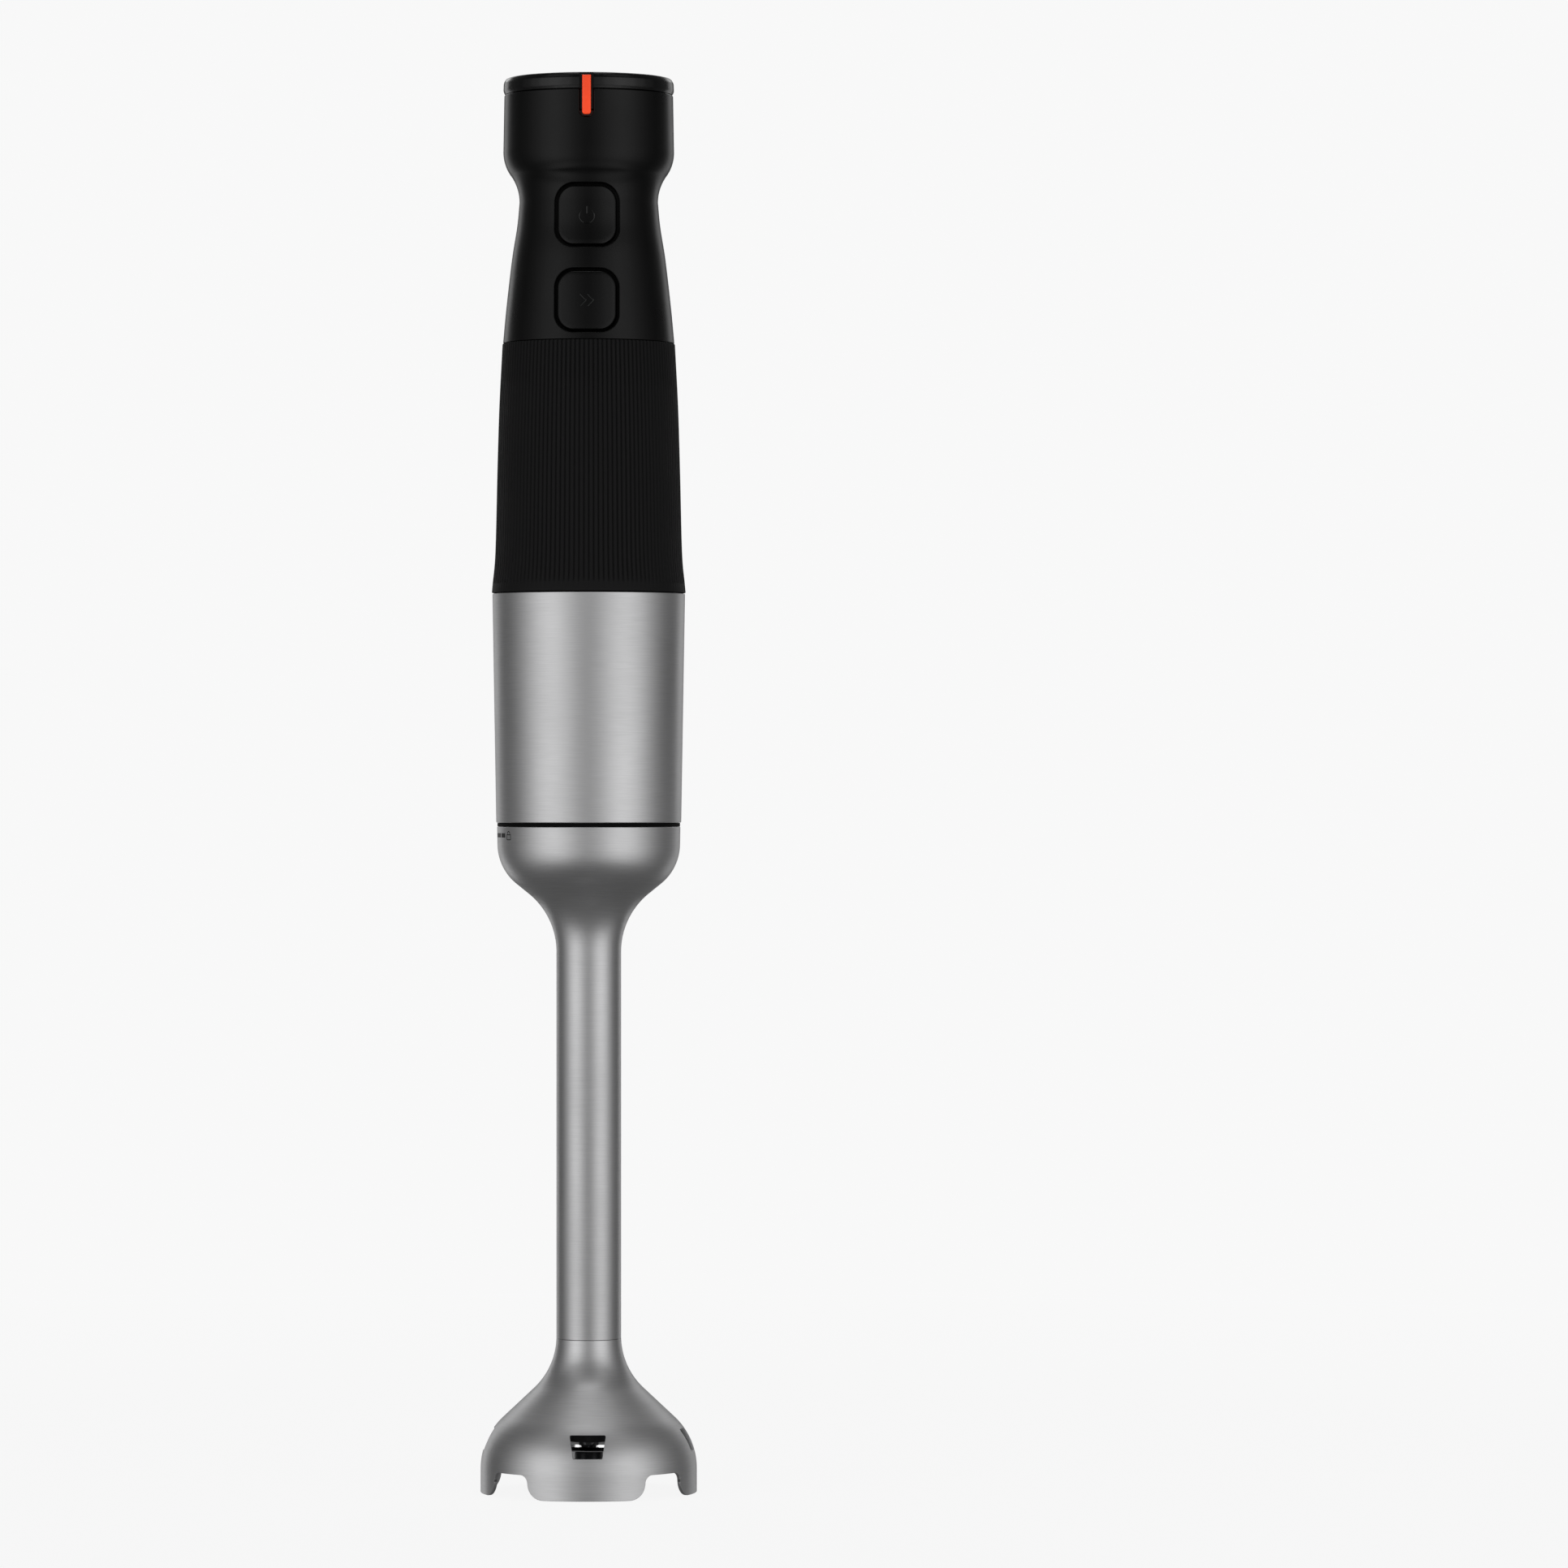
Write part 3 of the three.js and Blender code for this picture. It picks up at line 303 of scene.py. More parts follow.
def sectors(name, count, first, width, size, low, high):
    """Pieces of a ring, evenly spaced from a first angle, which is counted from +X in degrees."""
    pieces = []
    for i in range(count):
        middle = first + 360 / count * i
        start, end = middle - width / 2, middle + width / 2
        loop = [*arc((0, 0), size["outer"], start, end, 12), *arc((0, 0), size["inner"], end, start, 12)]
        pieces.append(prism(f"{name}_{i}", loop, low, high))
    return pieces


def applied(piece):
    """The piece with its modifiers applied."""
    bpy.context.view_layer.update()
    shown = piece.evaluated_get(bpy.context.evaluated_depsgraph_get())
    mesh = bpy.data.meshes.new_from_object(shown)
    piece.modifiers.clear()
    piece.data = mesh
    return piece


def combined(piece, operation, others, sharp=38):
    """Joins the others to a piece ("UNION") or cuts them out of it ("DIFFERENCE")."""
    for other in others:
        step = piece.modifiers.new("boolean", "BOOLEAN")
        step.operation = operation
        step.solver = "EXACT"
        step.object = other
    applied(piece)
    for other in others:
        bpy.data.objects.remove(other)
    piece.data.shade_smooth()
    piece.data.set_sharp_from_angle(angle=math.radians(sharp))
    return piece


def rounded_edges(piece, width, steps, angle=40):
    """Rounds the sharp edges of a piece."""
    step = piece.modifiers.new("bevel", "BEVEL")
    step.width = width * MM
    step.segments = steps
    step.limit_method = "ANGLE"
    step.angle_limit = math.radians(angle)
    return applied(piece)


# ---------------------------------------------------------------- pierced shells of revolution


class Surface:
    """A surface of revolution, and the same surface moved inwards."""

    def __init__(self, outline):
        self.line = np.array(outline)
        along = np.gradient(self.line, axis=0)
        self.out = np.column_stack((along[:, 1], -along[:, 0])) / np.linalg.norm(along, axis=1)[:, None]

    def radius(self, z, inset=0.0):
        moved = self.line - inset * self.out
        order = np.argsort(moved[:, 1])
        return np.interp(z, moved[order, 1], moved[order, 0])

    def flat(self, loop, inset):
        """Rows of (angle, z) for rows of (azimuth in degrees, x, z), where x is square to the azimuth."""
        loop = np.array(loop)
        aside = np.arcsin(loop[:, 1] / self.radius(loop[:, 2], inset))
        return np.column_stack((np.radians(loop[:, 0]) + aside, loop[:, 2]))

    def lifted(self, flat, inset):
        """Points in space for rows of (angle, z)."""
        r = self.radius(flat[:, 1], inset)
        return np.column_stack((r * np.sin(flat[:, 0]), -r * np.cos(flat[:, 0]), flat[:, 1]))

    def front(self, loop, inset):
        """Points in space for rows of (x, z), at the front."""
        loop = np.array(loop)
        r = self.radius(loop[:, 1], inset)
        return np.column_stack((loop[:, 0], -np.sqrt(r**2 - loop[:, 0] ** 2), loop[:, 1]))

    def normals(self, piece, wall):
        """Gives the points on the outer and the inner face the true normal of the surface."""
        mesh = piece.data
        co = np.zeros(len(mesh.vertices) * 3)
        mesh.vertices.foreach_get("co", co)
        co = co.reshape(-1, 3) / MM
        r = np.hypot(co[:, 0], co[:, 1])
        found = np.zeros_like(co)
        for inset, side in ((0.0, 1), (wall, -1)):
            moved = self.line - inset * self.out
            order = np.argsort(moved[:, 1])
            on = np.abs(r - self.radius(co[:, 2], inset)) < 2e-3
            on &= (co[:, 2] > moved[:, 1].min() - 1e-3) & (co[:, 2] < moved[:, 1].max() + 1e-3)
            out_r = np.interp(co[:, 2], moved[order, 1], self.out[order, 0])
            out_z = np.interp(co[:, 2], moved[order, 1], self.out[order, 1])
            facing = np.column_stack((out_r * co[:, 0] / r, out_r * co[:, 1] / r, out_z))
            facing /= np.linalg.norm(facing, axis=1)[:, None]
            found[on] = facing[on] * side
        mesh.normals_split_custom_set_from_vertices([tuple(n) for n in found])
        return piece


def inside(points, polygon):
    """Which of the points lie inside a closed polygon."""
    x, y = points[:, 0][:, None], points[:, 1][:, None]
    x0, y0 = polygon[:, 0][None], polygon[:, 1][None]
    x1, y1 = np.roll(x0, -1), np.roll(y0, -1)
    rise = np.where(y1 == y0, 1e-12, y1 - y0)
    crosses = ((y0 > y) != (y1 > y)) & (x < (x1 - x0) * (y - y0) / rise + x0)
    return crosses.sum(axis=1) % 2 == 1


def triangles(outer, holes, grid):
    """Triangles of the flat area inside outer and outside the holes, with the grid's points in it."""
    coords = []
    edges = []
    for loop in (outer, *holes):
        first = len(coords)
        coords += [Vector(p) for p in loop]
        edges += [(first + i, first + (i + 1) % len(loop)) for i in range(len(loop))]
    coords += [Vector(p) for p in grid]
    points, _, faces = delaunay_2d_cdt(coords, edges, [], 0, 1e-7, False)[:3]
    points = np.array([tuple(p) for p in points])
    faces = np.array([tuple(f) for f in faces])
    middles = points[faces].mean(axis=1)
    keep = inside(middles, outer)
    for hole in holes:
        keep &= ~inside(middles, hole)
    return points, faces[keep]


def fillet_steps(fillet, steps):
    """(margin, inset) pairs that lead round a fillet, from the face to the side."""
    turns = np.radians(np.linspace(0, 90, steps + 1))
    return [(fillet * (1 - math.sin(a)), fillet * (1 - math.cos(a))) for a in turns]


def edge_steps(wall, fillet):
    """(margin, inset) pairs that lead round the edge of a sheet from its outer to its inner face."""
    outer = fillet_steps(fillet, 3)
    return outer + [(margin, wall - inset) for margin, inset in reversed(outer)]


def filled(build, edge, holes, across, up, clear, place):
    """Fills an edge with triangles. clear() picks from a grid, and place() puts the points in space."""
    grid = np.array([(x, y) for x in across for y in up])
    points, faces = triangles(edge, holes, grid[clear(grid)])
    ids = build.add(place(points))
    build.faces += [tuple(ids[i] for i in face) for face in faces]


def pierced(name, surface, wall, low, high, cutouts, seam, columns, fillet=0.25, between_low=None):
    """A shell of revolution with holes. low, high and each cutout give their edge for a margin, as rows of
    (azimuth, x, z): low and high from the seam once round, and a cutout as a closed loop."""
    build = Build()
    stretch = np.array([surface.line[:, 0].mean(), 1.0])
    steps = edge_steps(wall, fillet)
    spacing = math.radians(360 / columns) * stretch[0]
    seam_angles = (math.radians(seam), math.radians(seam + 360))
    for inset in (0.0, wall):
        low_edge = surface.flat(low(fillet), inset)
        high_edge = surface.flat(high(fillet), inset)
        heights = surface.line[:, 1]
        sides = heights[(heights > low_edge[0, 1] + 0.2) & (heights < high_edge[0, 1] - 0.2)]
        right = np.column_stack((np.full(len(sides), seam_angles[1]), sides))
        left = np.column_stack((np.full(len(sides), seam_angles[0]), sides[::-1]))
        outer = np.vstack((low_edge, right, high_edge[::-1], left)) * stretch
        holes = [surface.flat(cutout(fillet), inset) * stretch for cutout in cutouts]
        angles = np.linspace(*seam_angles, columns + 1)[1:-1]
        grid = np.array([(a, z) for z in sides for a in angles]) * stretch
        clear = inside(grid, outer)
        room = fillet + 0.55 * spacing
        for cutout in cutouts:
            clear &= ~inside(grid, surface.flat(cutout(room), inset) * stretch)
        for edge, side in ((low, 1), (high, -1)):
            line = surface.flat(edge(room), inset) * stretch
            line = line[np.argsort(line[:, 0], kind="stable")]
            clear &= (grid[:, 1] - np.interp(grid[:, 0], line[:, 0], line[:, 1])) * side > 0
        points, faces = triangles(outer, holes, grid[clear])
        ids = build.add(surface.lifted(points / stretch, inset))
        build.faces += [tuple(ids[i] for i in face) for face in faces]
    for edge, closed in [(low, False), (high, False), *[(c, True) for c in cutouts]]:
        rings = [surface.lifted(surface.flat(edge(margin), inset), inset) for margin, inset in steps]
        if edge is low and between_low:
            half = len(rings) // 2
            angles = surface.flat(low(fillet), 0.0)[:, 0]
            middle = [[circle_point(a, r, z) for a in angles] for r, z in between_low]
            rings = [*rings[:half], *middle, rings[-1]]
        build.rows(rings, closed)
    piece = build.finish(name, 50, quads=True)
    return surface.normals(piece, wall)


def level_edge(height, seam, columns, side):
    """A level edge all round, for pierced(). side is 1 for a lower edge and -1 for an upper one."""
    azimuths = np.linspace(seam, seam + 360, columns + 1)
    return lambda margin: [(a, 0.0, height + side * margin) for a in azimuths]


# ---------------------------------------------------------------- materials


def principled(name, colour, roughness, metallic=0.0, **constants):
    """A new material and its shader. Constants name sockets, with _ for a space."""
    look = bpy.data.materials.new(name)
    look.use_nodes = True
    shader = look.node_tree.nodes["Principled BSDF"]
    shader.inputs["Base Color"].default_value = (*colour, 1.0)
    shader.inputs["Roughness"].default_value = roughness
    shader.inputs["Metallic"].default_value = metallic
    for socket, value in constants.items():
        shader.inputs[socket.replace("_", " ")].default_value = value
    return look, shader


def noise(look, size, stretch=(1, 1, 1), detail=3.0):
    """Noise with grains about size millimetres across, drawn out along an axis whose stretch is over 1."""
    nodes, links = look.node_tree.nodes, look.node_tree.links
    place = nodes.new("ShaderNodeTexCoord")
    mapping = nodes.new("ShaderNodeMapping")
    mapping.inputs["Scale"].default_value = [1 / (size * MM * s) for s in stretch]
    grain = nodes.new("ShaderNodeTexNoise")
    grain.inputs["Scale"].default_value = 1.0
    grain.inputs["Detail"].default_value = detail
    links.new(place.outputs["Object"], mapping.inputs["Vector"])
    links.new(mapping.outputs["Vector"], grain.inputs["Vector"])
    return grain.outputs["Fac"]


def spread(look, fac, low, high, socket):
    """Drives a shader's socket with a pattern, from low to high."""
    nodes, links = look.node_tree.nodes, look.node_tree.links
    scale = nodes.new("ShaderNodeMapRange")
    scale.inputs["From Min"].default_value = 0.3
    scale.inputs["From Max"].default_value = 0.7
    scale.inputs["To Min"].default_value = low
    scale.inputs["To Max"].default_value = high
    links.new(fac, scale.inputs["Value"])
    links.new(scale.outputs["Result"], socket)


def tint(look, fac, dark, light, socket):
    """Drives a colour socket with a pattern, from dark to light."""
    nodes, links = look.node_tree.nodes, look.node_tree.links
    ramp = nodes.new("ShaderNodeValToRGB")
    ramp.color_ramp.elements[0].position = 0.3
    ramp.color_ramp.elements[0].color = (*dark, 1.0)
    ramp.color_ramp.elements[1].position = 0.7
    ramp.color_ramp.elements[1].color = (*light, 1.0)
    links.new(fac, ramp.inputs["Fac"])
    links.new(ramp.outputs["Color"], socket)


def relief(look, shader, heights, depth, strength=0.5):
    """Bump from one or more patterns, depth in millimetres."""
    nodes, links = look.node_tree.nodes, look.node_tree.links
    last = None
    for height in heights:
        bump = nodes.new("ShaderNodeBump")
        bump.inputs["Strength"].default_value = strength
        bump.inputs["Distance"].default_value = depth * MM
        links.new(height, bump.inputs["Height"])
        if last:
            links.new(last, bump.inputs["Normal"])
        last = bump.outputs["Normal"]
    links.new(last, shader.inputs["Normal"])


def shades(colour, amount):
    """A darker and a lighter tone of one colour."""
    return [c * (1 - amount) for c in colour], [c * (1 + amount) for c in colour]


def steel(name, colour, roughness, brush=0.02, amount=0.06):
    """Metal brushed round its axis, with a satin grain and faint handling marks."""
    look, shader = principled(name, colour, roughness, 1.0)
    lines = noise(look, 0.12, (60, 60, 1), 2.0)
    grain = noise(look, 0.35, (1, 1, 1), 4.0)
    cloud = noise(look, 22, (1, 1, 1.6), 3.0)
    tint(look, lines, *shades(colour, amount), shader.inputs["Base Color"])
    spread(look, cloud, roughness - 0.03, roughness + 0.03, shader.inputs["Roughness"])
    relief(look, shader, [lines, grain], brush, 0.35)
    return look


def moulded(name, colour, roughness, grain=0.5, depth=0.03, amount=0.12, **constants):
    """Moulded plastic or rubber with a fine spark-eroded grain."""
    look, shader = principled(name, colour, roughness, 0.0, **constants)
    fine = noise(look, grain, (1, 1, 1), 3.0)
    cloud = noise(look, 16, (1, 1, 1), 3.0)
    tint(look, cloud, *shades(colour, amount), shader.inputs["Base Color"])
    spread(look, cloud, roughness - 0.04, roughness + 0.04, shader.inputs["Roughness"])
    relief(look, shader, [fine], depth, 0.4)
    return look


def glossy(name, colour, roughness, **constants):
    """Smooth moulding with the slight waviness of a polished tool. Its emission colour is its own colour,
    so a finish given an Emission Strength glows with painted light.
    """
    look, shader = principled(name, colour, roughness, 0.0, **constants)
    # Emission colour is the base colour: with an Emission Strength above 0 the moulding glows, which is
    # painted light, not a lamp.
    shader.inputs["Emission Color"].default_value = (*colour, 1.0)
    wave = noise(look, 6, (1, 1, 1), 2.0)
    dust = noise(look, 0.8, (1, 1, 1), 4.0)
    tint(look, wave, *shades(colour, 0.1), shader.inputs["Base Color"])
    spread(look, dust, roughness * 0.8, roughness * 1.3, shader.inputs["Roughness"])
    relief(look, shader, [wave], 0.02, 0.15)
    return look


def layered(name, colour, roughness, metallic, size, axis, amount=0.35, depth=0.08):
    """Thin layers or turns, stacked along an axis."""
    look, shader = principled(name, colour, roughness, metallic)
    stretch = [40, 40, 40]
    stretch[axis] = 1
    layers = noise(look, size, stretch, 1.0)
    grain = noise(look, 0.4, (1, 1, 1), 3.0)
    tint(look, layers, *shades(colour, amount), shader.inputs["Base Color"])
    spread(look, grain, roughness - 0.06, roughness + 0.08, shader.inputs["Roughness"])
    relief(look, shader, [layers], depth, 0.6)
    return look


def speckled(name, colour, roughness, metallic, size, amount):
    """Cast, sintered or coated surface with a speckled tone."""
    look, shader = principled(name, colour, roughness, metallic)
    dots = noise(look, size, (1, 1, 1), 4.0)
    cloud = noise(look, 9, (1, 1, 1), 2.0)
    tint(look, dots, *shades(colour, amount), shader.inputs["Base Color"])
    spread(look, cloud, roughness - 0.05, roughness + 0.05, shader.inputs["Roughness"])
    relief(look, shader, [dots], 0.02, 0.3)
    return look


STEEL_GREY = (0.49, 0.49, 0.495)
SOFT_BLACK = (0.0006, 0.0006, 0.00065)
GRIP_BLACK = (0.0045, 0.0045, 0.0047)
LOOKS = {
    "brushed_steel": steel("satin_steel", STEEL_GREY, 0.42),
    "polished_steel": steel("polished_steel", (0.72, 0.72, 0.73), 0.14, 0.006, 0.03),
    "zinc_steel": steel("zinc_steel", (0.46, 0.46, 0.48), 0.3, 0.01, 0.08),
    "soft_black": moulded("soft_black", SOFT_BLACK, 0.3, 0.35, 0.02, Specular_IOR_Level=0.17),
    "grip_rubber": moulded("grip_rubber", GRIP_BLACK, 0.72, 0.5, 0.03, Specular_IOR_Level=0.17),
    "gloss_black": glossy("gloss_black", (0.0008, 0.0008, 0.0009), 0.2, Specular_IOR_Level=0.3),
    # The orange finish glows a little (Emission_Strength 0.16) though it is no lamp: painted light that
    # brightens the pointer.
    "orange": glossy(
        "orange_plastic_painted_glow", (1.0, 0.07, 0.012), 0.36, Specular_IOR_Level=0.45, Emission_Strength=0.16
    ),
    "grey_plastic": moulded("grey_plastic", (0.09, 0.095, 0.1), 0.52),
    "white_plastic": moulded("white_plastic", (0.66, 0.64, 0.58), 0.48, 0.6, 0.03, 0.04),
    "black_plastic": moulded("black_plastic", (0.02, 0.02, 0.021), 0.42),
    "carbon": speckled("carbon", (0.03, 0.03, 0.032), 0.6, 0.1, 0.25, 0.5),
    "brass": speckled("brass", (0.55, 0.36, 0.12), 0.32, 1.0, 0.5, 0.08),
    "copper": layered("copper", (0.55, 0.19, 0.07), 0.34, 1.0, 0.35, 2),
    "lamination": layered("lamination", (0.2, 0.2, 0.21), 0.45, 0.9, 0.4, 2),
    "circuit_board": speckled("circuit_board", (0.015, 0.1, 0.035), 0.35, 0.0, 1.2, 0.25),
    "heatsink_aluminium": steel("heatsink_aluminium", (0.6, 0.6, 0.61), 0.38, 0.015, 0.05),
    "film_yellow": glossy("film_yellow", (0.62, 0.4, 0.05), 0.35),
    "hardened_steel": steel("hardened_steel", (0.14, 0.14, 0.145), 0.3, 0.01, 0.08),
    # Dark finish of the blade nut: painted shade, standing in for the shadow under the blade inside the
    # bell.
    "burnished_steel": speckled("burnished_steel", (0.03, 0.03, 0.032), 0.42, 0.9, 0.4, 0.3),
}
SEAL_RUBBER = moulded("seal_rubber", (0.0012, 0.0012, 0.0013), 0.8, 0.5, 0.03, Specular_IOR_Level=0.1)
PRINT_BLACK = moulded("print_black", (0.006, 0.006, 0.006), 0.5, 0.2, 0.01, Specular_IOR_Level=0.2)


def goes_with(piece, node, look=None):
    """The piece has the body and slot of a CAD node, and its finish unless another is given."""
    piece.data.materials.clear()
    piece.data.materials.append(look or LOOKS[SLOT_OF[node]])
    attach(piece, BODY_OF[node])
    return piece


def stands_for(piece, node, look=None):
    """The piece goes with a CAD node and replaces it."""
    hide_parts(node)
    return goes_with(piece, node, look)


def line_on(name, path, width, section, place):
    """A line along a path of (across, up) points. Its section is a row of (side, inset), where a side of 1
    is half the width, and place() puts points on a surface at an inset."""
    along = np.gradient(path, axis=0)
    closed = np.allclose(path[0], path[-1])
    if closed:
        along[0] = along[-1] = path[1] - path[-2]
    side = np.column_stack((-along[:, 1], along[:, 0])) / np.linalg.norm(along, axis=1)[:, None] * width / 2
    build = Build()
    rings = [place(path + side * offset, inset) for offset, inset in section]
    rows = build.rows([*rings, rings[0]], closed=False)
    if not closed:
        build.faces += [tuple(row[end] for row in rows[:-1]) for end in (0, -1)]
    return build.finish(name, 50)


# ---------------------------------------------------------------- leg and bell guard


def notch_path(azimuth, margin):
    """Edge of one notch in the rim, from foot to foot, as rows of (azimuth, x, z)."""
    half, crown, inner, foot = NOTCH["half"], NOTCH["top"], NOTCH["inner"], NOTCH["foot"]
    left = arc((-half - foot, foot), foot - margin, 270, 360, 10)
    left += arc((inner - half, crown - inner), inner + margin, 180, 90, 8)
    path = [*left, *[(-x, z) for x, z in reversed(left)]]
    return [(azimuth, x, z) for x, z in resampled(path, 1.2)]


def bell_rim(margin):
    """Lower edge of the bell: four feet with a notch between each two."""
    rows = []
    start = seam = BELL_MESH["seam"]
    half_turn = math.degrees(math.asin((NOTCH["half"] + NOTCH["foot"]) / reach("bell_guard")))
    for azimuth in NOTCH["at"]:
        rows += [(a, 0.0, margin) for a in np.linspace(start, azimuth - half_turn, 24, endpoint=False)]
        rows += notch_path(azimuth, margin)
        start = azimuth + half_turn
    return rows + [(a, 0.0, margin) for a in np.linspace(start, seam + 360, 24)][1:]


def window_loop(azimuth):
    """One window of the bell, as a closed loop for a margin."""

    def loop(margin):
        foot, crown = WINDOW["bottom"] - margin, WINDOW["top"] + margin
        narrow, wide = WINDOW_HALF["bottom"] + margin, WINDOW_HALF["top"] + margin
        corners = [(-narrow, foot), (narrow, foot), (wide, crown), (-wide, crown)]
        outline = rounded(corners, WINDOW["round"] + margin, 4)
        split = []
        for start, end in zip(outline, [*outline[1:], outline[0]]):
            count = 8 if math.dist(start, end) > 2 else 1
            split += [tuple(np.array(start) + (np.array(end) - start) * k / count) for k in range(count)]
        return [(azimuth, x, z) for x, z in split]

    return loop


def bell_guard():
    seam, columns = BELL_MESH["seam"], BELL_MESH["columns"]
    surface = Surface(bell_outline())
    collar = level_edge(top("bell_guard"), seam, columns, -1)
    windows = [window_loop(azimuth if azimuth > seam else azimuth + 360) for azimuth in WINDOW["at"]]
    piece = pierced("bell", surface, BELL_WALL, bell_rim, collar, windows, seam, columns, 0.12)
    return stands_for(piece, "bell_guard")


def leg_tube():
    """Tube and cup in one shell, with a rounded lip and a fine edge at the foot."""
    outer, inner = leg_outline(), leg_outline(LEG_WALL)[::-1]
    lip = rounded([outer[-2], outer[-1], inner[0], inner[1]], 0.3, 4, closed=False)[1:-1]
    base = rounded([inner[-2], inner[-1], outer[0], outer[1]], 0.08, 4, closed=False)[1:-1]
    outline = [*base, *outer[1:-1], *lip, *inner[1:-1]]
    return stands_for(turned("leg_tube_and_cup", outline), "leg_shell")


def bearing_carrier():
    """Plastic carrier of the lower bush, with a collar round the shaft, a plate and a stem."""
    bore, collar, plate, stem = (CARRIER[key] for key in ("bore", "collar", "plate", "stem"))
    low, high = CARRIER["low"], CARRIER["high"]
    outline = [(bore, low), (collar, low), (collar, 18.6), (plate - 1.0, 18.6), (plate, 19.6)]
    outline += [(plate, 25.0), (stem, 29.0), (stem, high), (bore, high)]
    return stands_for(turned("shaft_carrier", rounded(outline, 0.4)), "bearing_carrier")


def printed(name, path, width, azimuth):
    """A printed line on the cup, drawn as (across, up) points about an azimuth."""
    surface = Surface(leg_outline()[1:])

    def place(spots, inset):
        turns = math.radians(azimuth) + spots[:, 0] / CUP_RIM
        return surface.lifted(np.column_stack((turns, spots[:, 1] + PRINT["height"])), inset)

    section = [(-1, PRINT["depth"]), (-1, -PRINT["lift"]), (1, -PRINT["lift"]), (1, PRINT["depth"])]
    line = line_on(name, np.array(resampled(path, 0.5)), width, section, place)
    return goes_with(line, "leg_shell", PRINT_BLACK)


def lock_marks():
    """Generic marks of the bayonet, printed under the seam: two bars and a padlock."""
    printed("lock_mark_long", [(-2.5, 0.0), (2.5, 0.0)], PRINT["bar"], -77)
    printed("lock_mark_short", [(-1.5, 0.0), (1.5, 0.0)], PRINT["bar"], -67)
    body = [(-1.1, -1.3), (1.1, -1.3), (1.1, 0.2), (-1.1, 0.2), (-1.1, -1.3)]
    printed("padlock_body", body, PRINT["line"], -59)
    printed("padlock_bow", [(-0.7, 0.2), *arc((0, 0.5), 0.7, 180, 0, 8), (0.7, 0.2)], PRINT["line"], -59)


# ---------------------------------------------------------------- motor unit


def slot_edge(height, seam, columns):
    """The cap's upper edge, which dips at the front into the slot of the index marker."""
    half = MARKER["width"] / 2 + MARKER["gap"]
    centre = MARKER["bottom"] + MARKER["width"] / 2

    def edge(margin):
        left = [(a, 0.0, height - margin) for a in np.linspace(seam, 350, columns // 2)]
        right = [(a, 0.0, height - margin) for a in np.linspace(370, seam + 360, columns // 2)]
        side = [(half + margin, z) for z in np.linspace(centre, height - margin, 9)[1:]]
        shelf = [(x, height - margin) for x in np.linspace(half + margin, 3.4, 4)[1:]]
        right_half = [*side, *shelf]
        left_half = [(-x, z) for x, z in reversed(right_half)]
        path = [*left_half, *arc((0, centre), half + margin, 180, 360, 16), *right_half]
        return [*left, *[(360, x, z) for x, z in path], *right]

    return edge


def button_opening(height):
    """Opening of one button, as a closed loop for a margin."""

    def loop(margin):
        square = rounded_square(BUTTON["opening"], BUTTON["corner"] + 0.8, margin)
        return [(360, x, height + z) for x, z in square]

    return loop


def cord_opening(margin):
    return [(180, x, z) for x, z in arc((0, CORD["z"]), CORD["hole"] + margin, 0, 360, 40)[:-1]]


def handle_shell():
    """Housing with its openings, and the skirt that the grip is pulled over."""
    seam, columns = 90, 200
    outline = handle_outline()
    surface = Surface(outline)
    foot = outline[0][1]
    low = level_edge(foot, seam, columns, 1)
    high = slot_edge(CAP["top"], seam, columns)
    cutouts = [button_opening(height) for height in BUTTON_HEIGHTS.values()] + [cord_opening]
    skirt = [
        (SKIRT["high"] + 0.3, foot),
        (SKIRT["high"], foot - 0.3),
        (SKIRT["low"], SKIRT["bottom"] + 0.4),
        (SKIRT["low"] - 0.4, SKIRT["bottom"]),
        (SKIRT["low"] - SKIRT["wall"], SKIRT["bottom"]),
        (SKIRT["high"] - SKIRT["wall"], foot - 2.0),
        (outline[0][0] - CAP["wall"], foot - 1.0),
    ]
    piece = pierced("housing", surface, CAP["wall"], low, high, cutouts, seam, columns, 0.35, skirt)
    return stands_for(piece, "handle_shell")


def bezel_ring():
    """Ring with a convex outer face, cut through at the front for the index marker."""
    base, foot, lip = bottom("bezel_ring"), CAP["top"] + 0.12, top("bezel_ring")
    corners = [
        (BEZEL["base"], base),
        (BEZEL["base"], foot, 0.2),
        (25.15, foot, 0.25),
        (BEZEL["belly"], foot + 1.1, 1.6),
        (25.6, lip - 1.3, 2.2),
        (24.9, lip, 0.9),
        (BEZEL["lip"], lip, 0.6),
        (BEZEL["bore"], lip - 0.8, 0.5),
        (BEZEL["bore"], base),
    ]
    ring = turned("bezel", rounded(corners, 0.3, 6))
    half, back = MARKER["width"] / 2 + MARKER["gap"], GAP - MARKER["back"]
    slot = prism("slot", [(-half, -30), (half, -30), (half, back), (-half, back)], base - 1, lip + 1)
    return stands_for(combined(ring, "DIFFERENCE", [slot]), "bezel_ring")


def index_marker():
    """Orange pointer with a rounded foot. The edges of its face are rounded too."""
    half, corner = MARKER["width"] / 2, MARKER["round"]

    def loop(margin):
        left = arc((corner - half, MARKER["bottom"] + corner), corner - margin, 180, 270, 8)
        right = arc((half - corner, MARKER["bottom"] + corner), corner - margin, 270, 360, 8)
        heights = np.linspace(MARKER["bottom"] + corner, MARKER["top"] - margin, 12)[1:]
        sides = [(half - margin, z) for z in heights] + [(margin - half, z) for z in heights[::-1]]
        return [*left, *right, *sides]

    build = Build()
    rings = [[(x, -MARKER["back"], z) for x, z in loop(0.0)]]
    for margin, depth in fillet_steps(MARKER["edge"], 4)[::-1]:
        rings.append([(x, depth - MARKER["face"], z) for x, z in loop(margin)])
    rows = build.rows(rings)
    build.faces += [tuple(rows[0]), tuple(rows[-1])]
    # The pointer takes the orange finish, which glows a little: painted light.
    return stands_for(build.finish("pointer", 50), "index_marker")


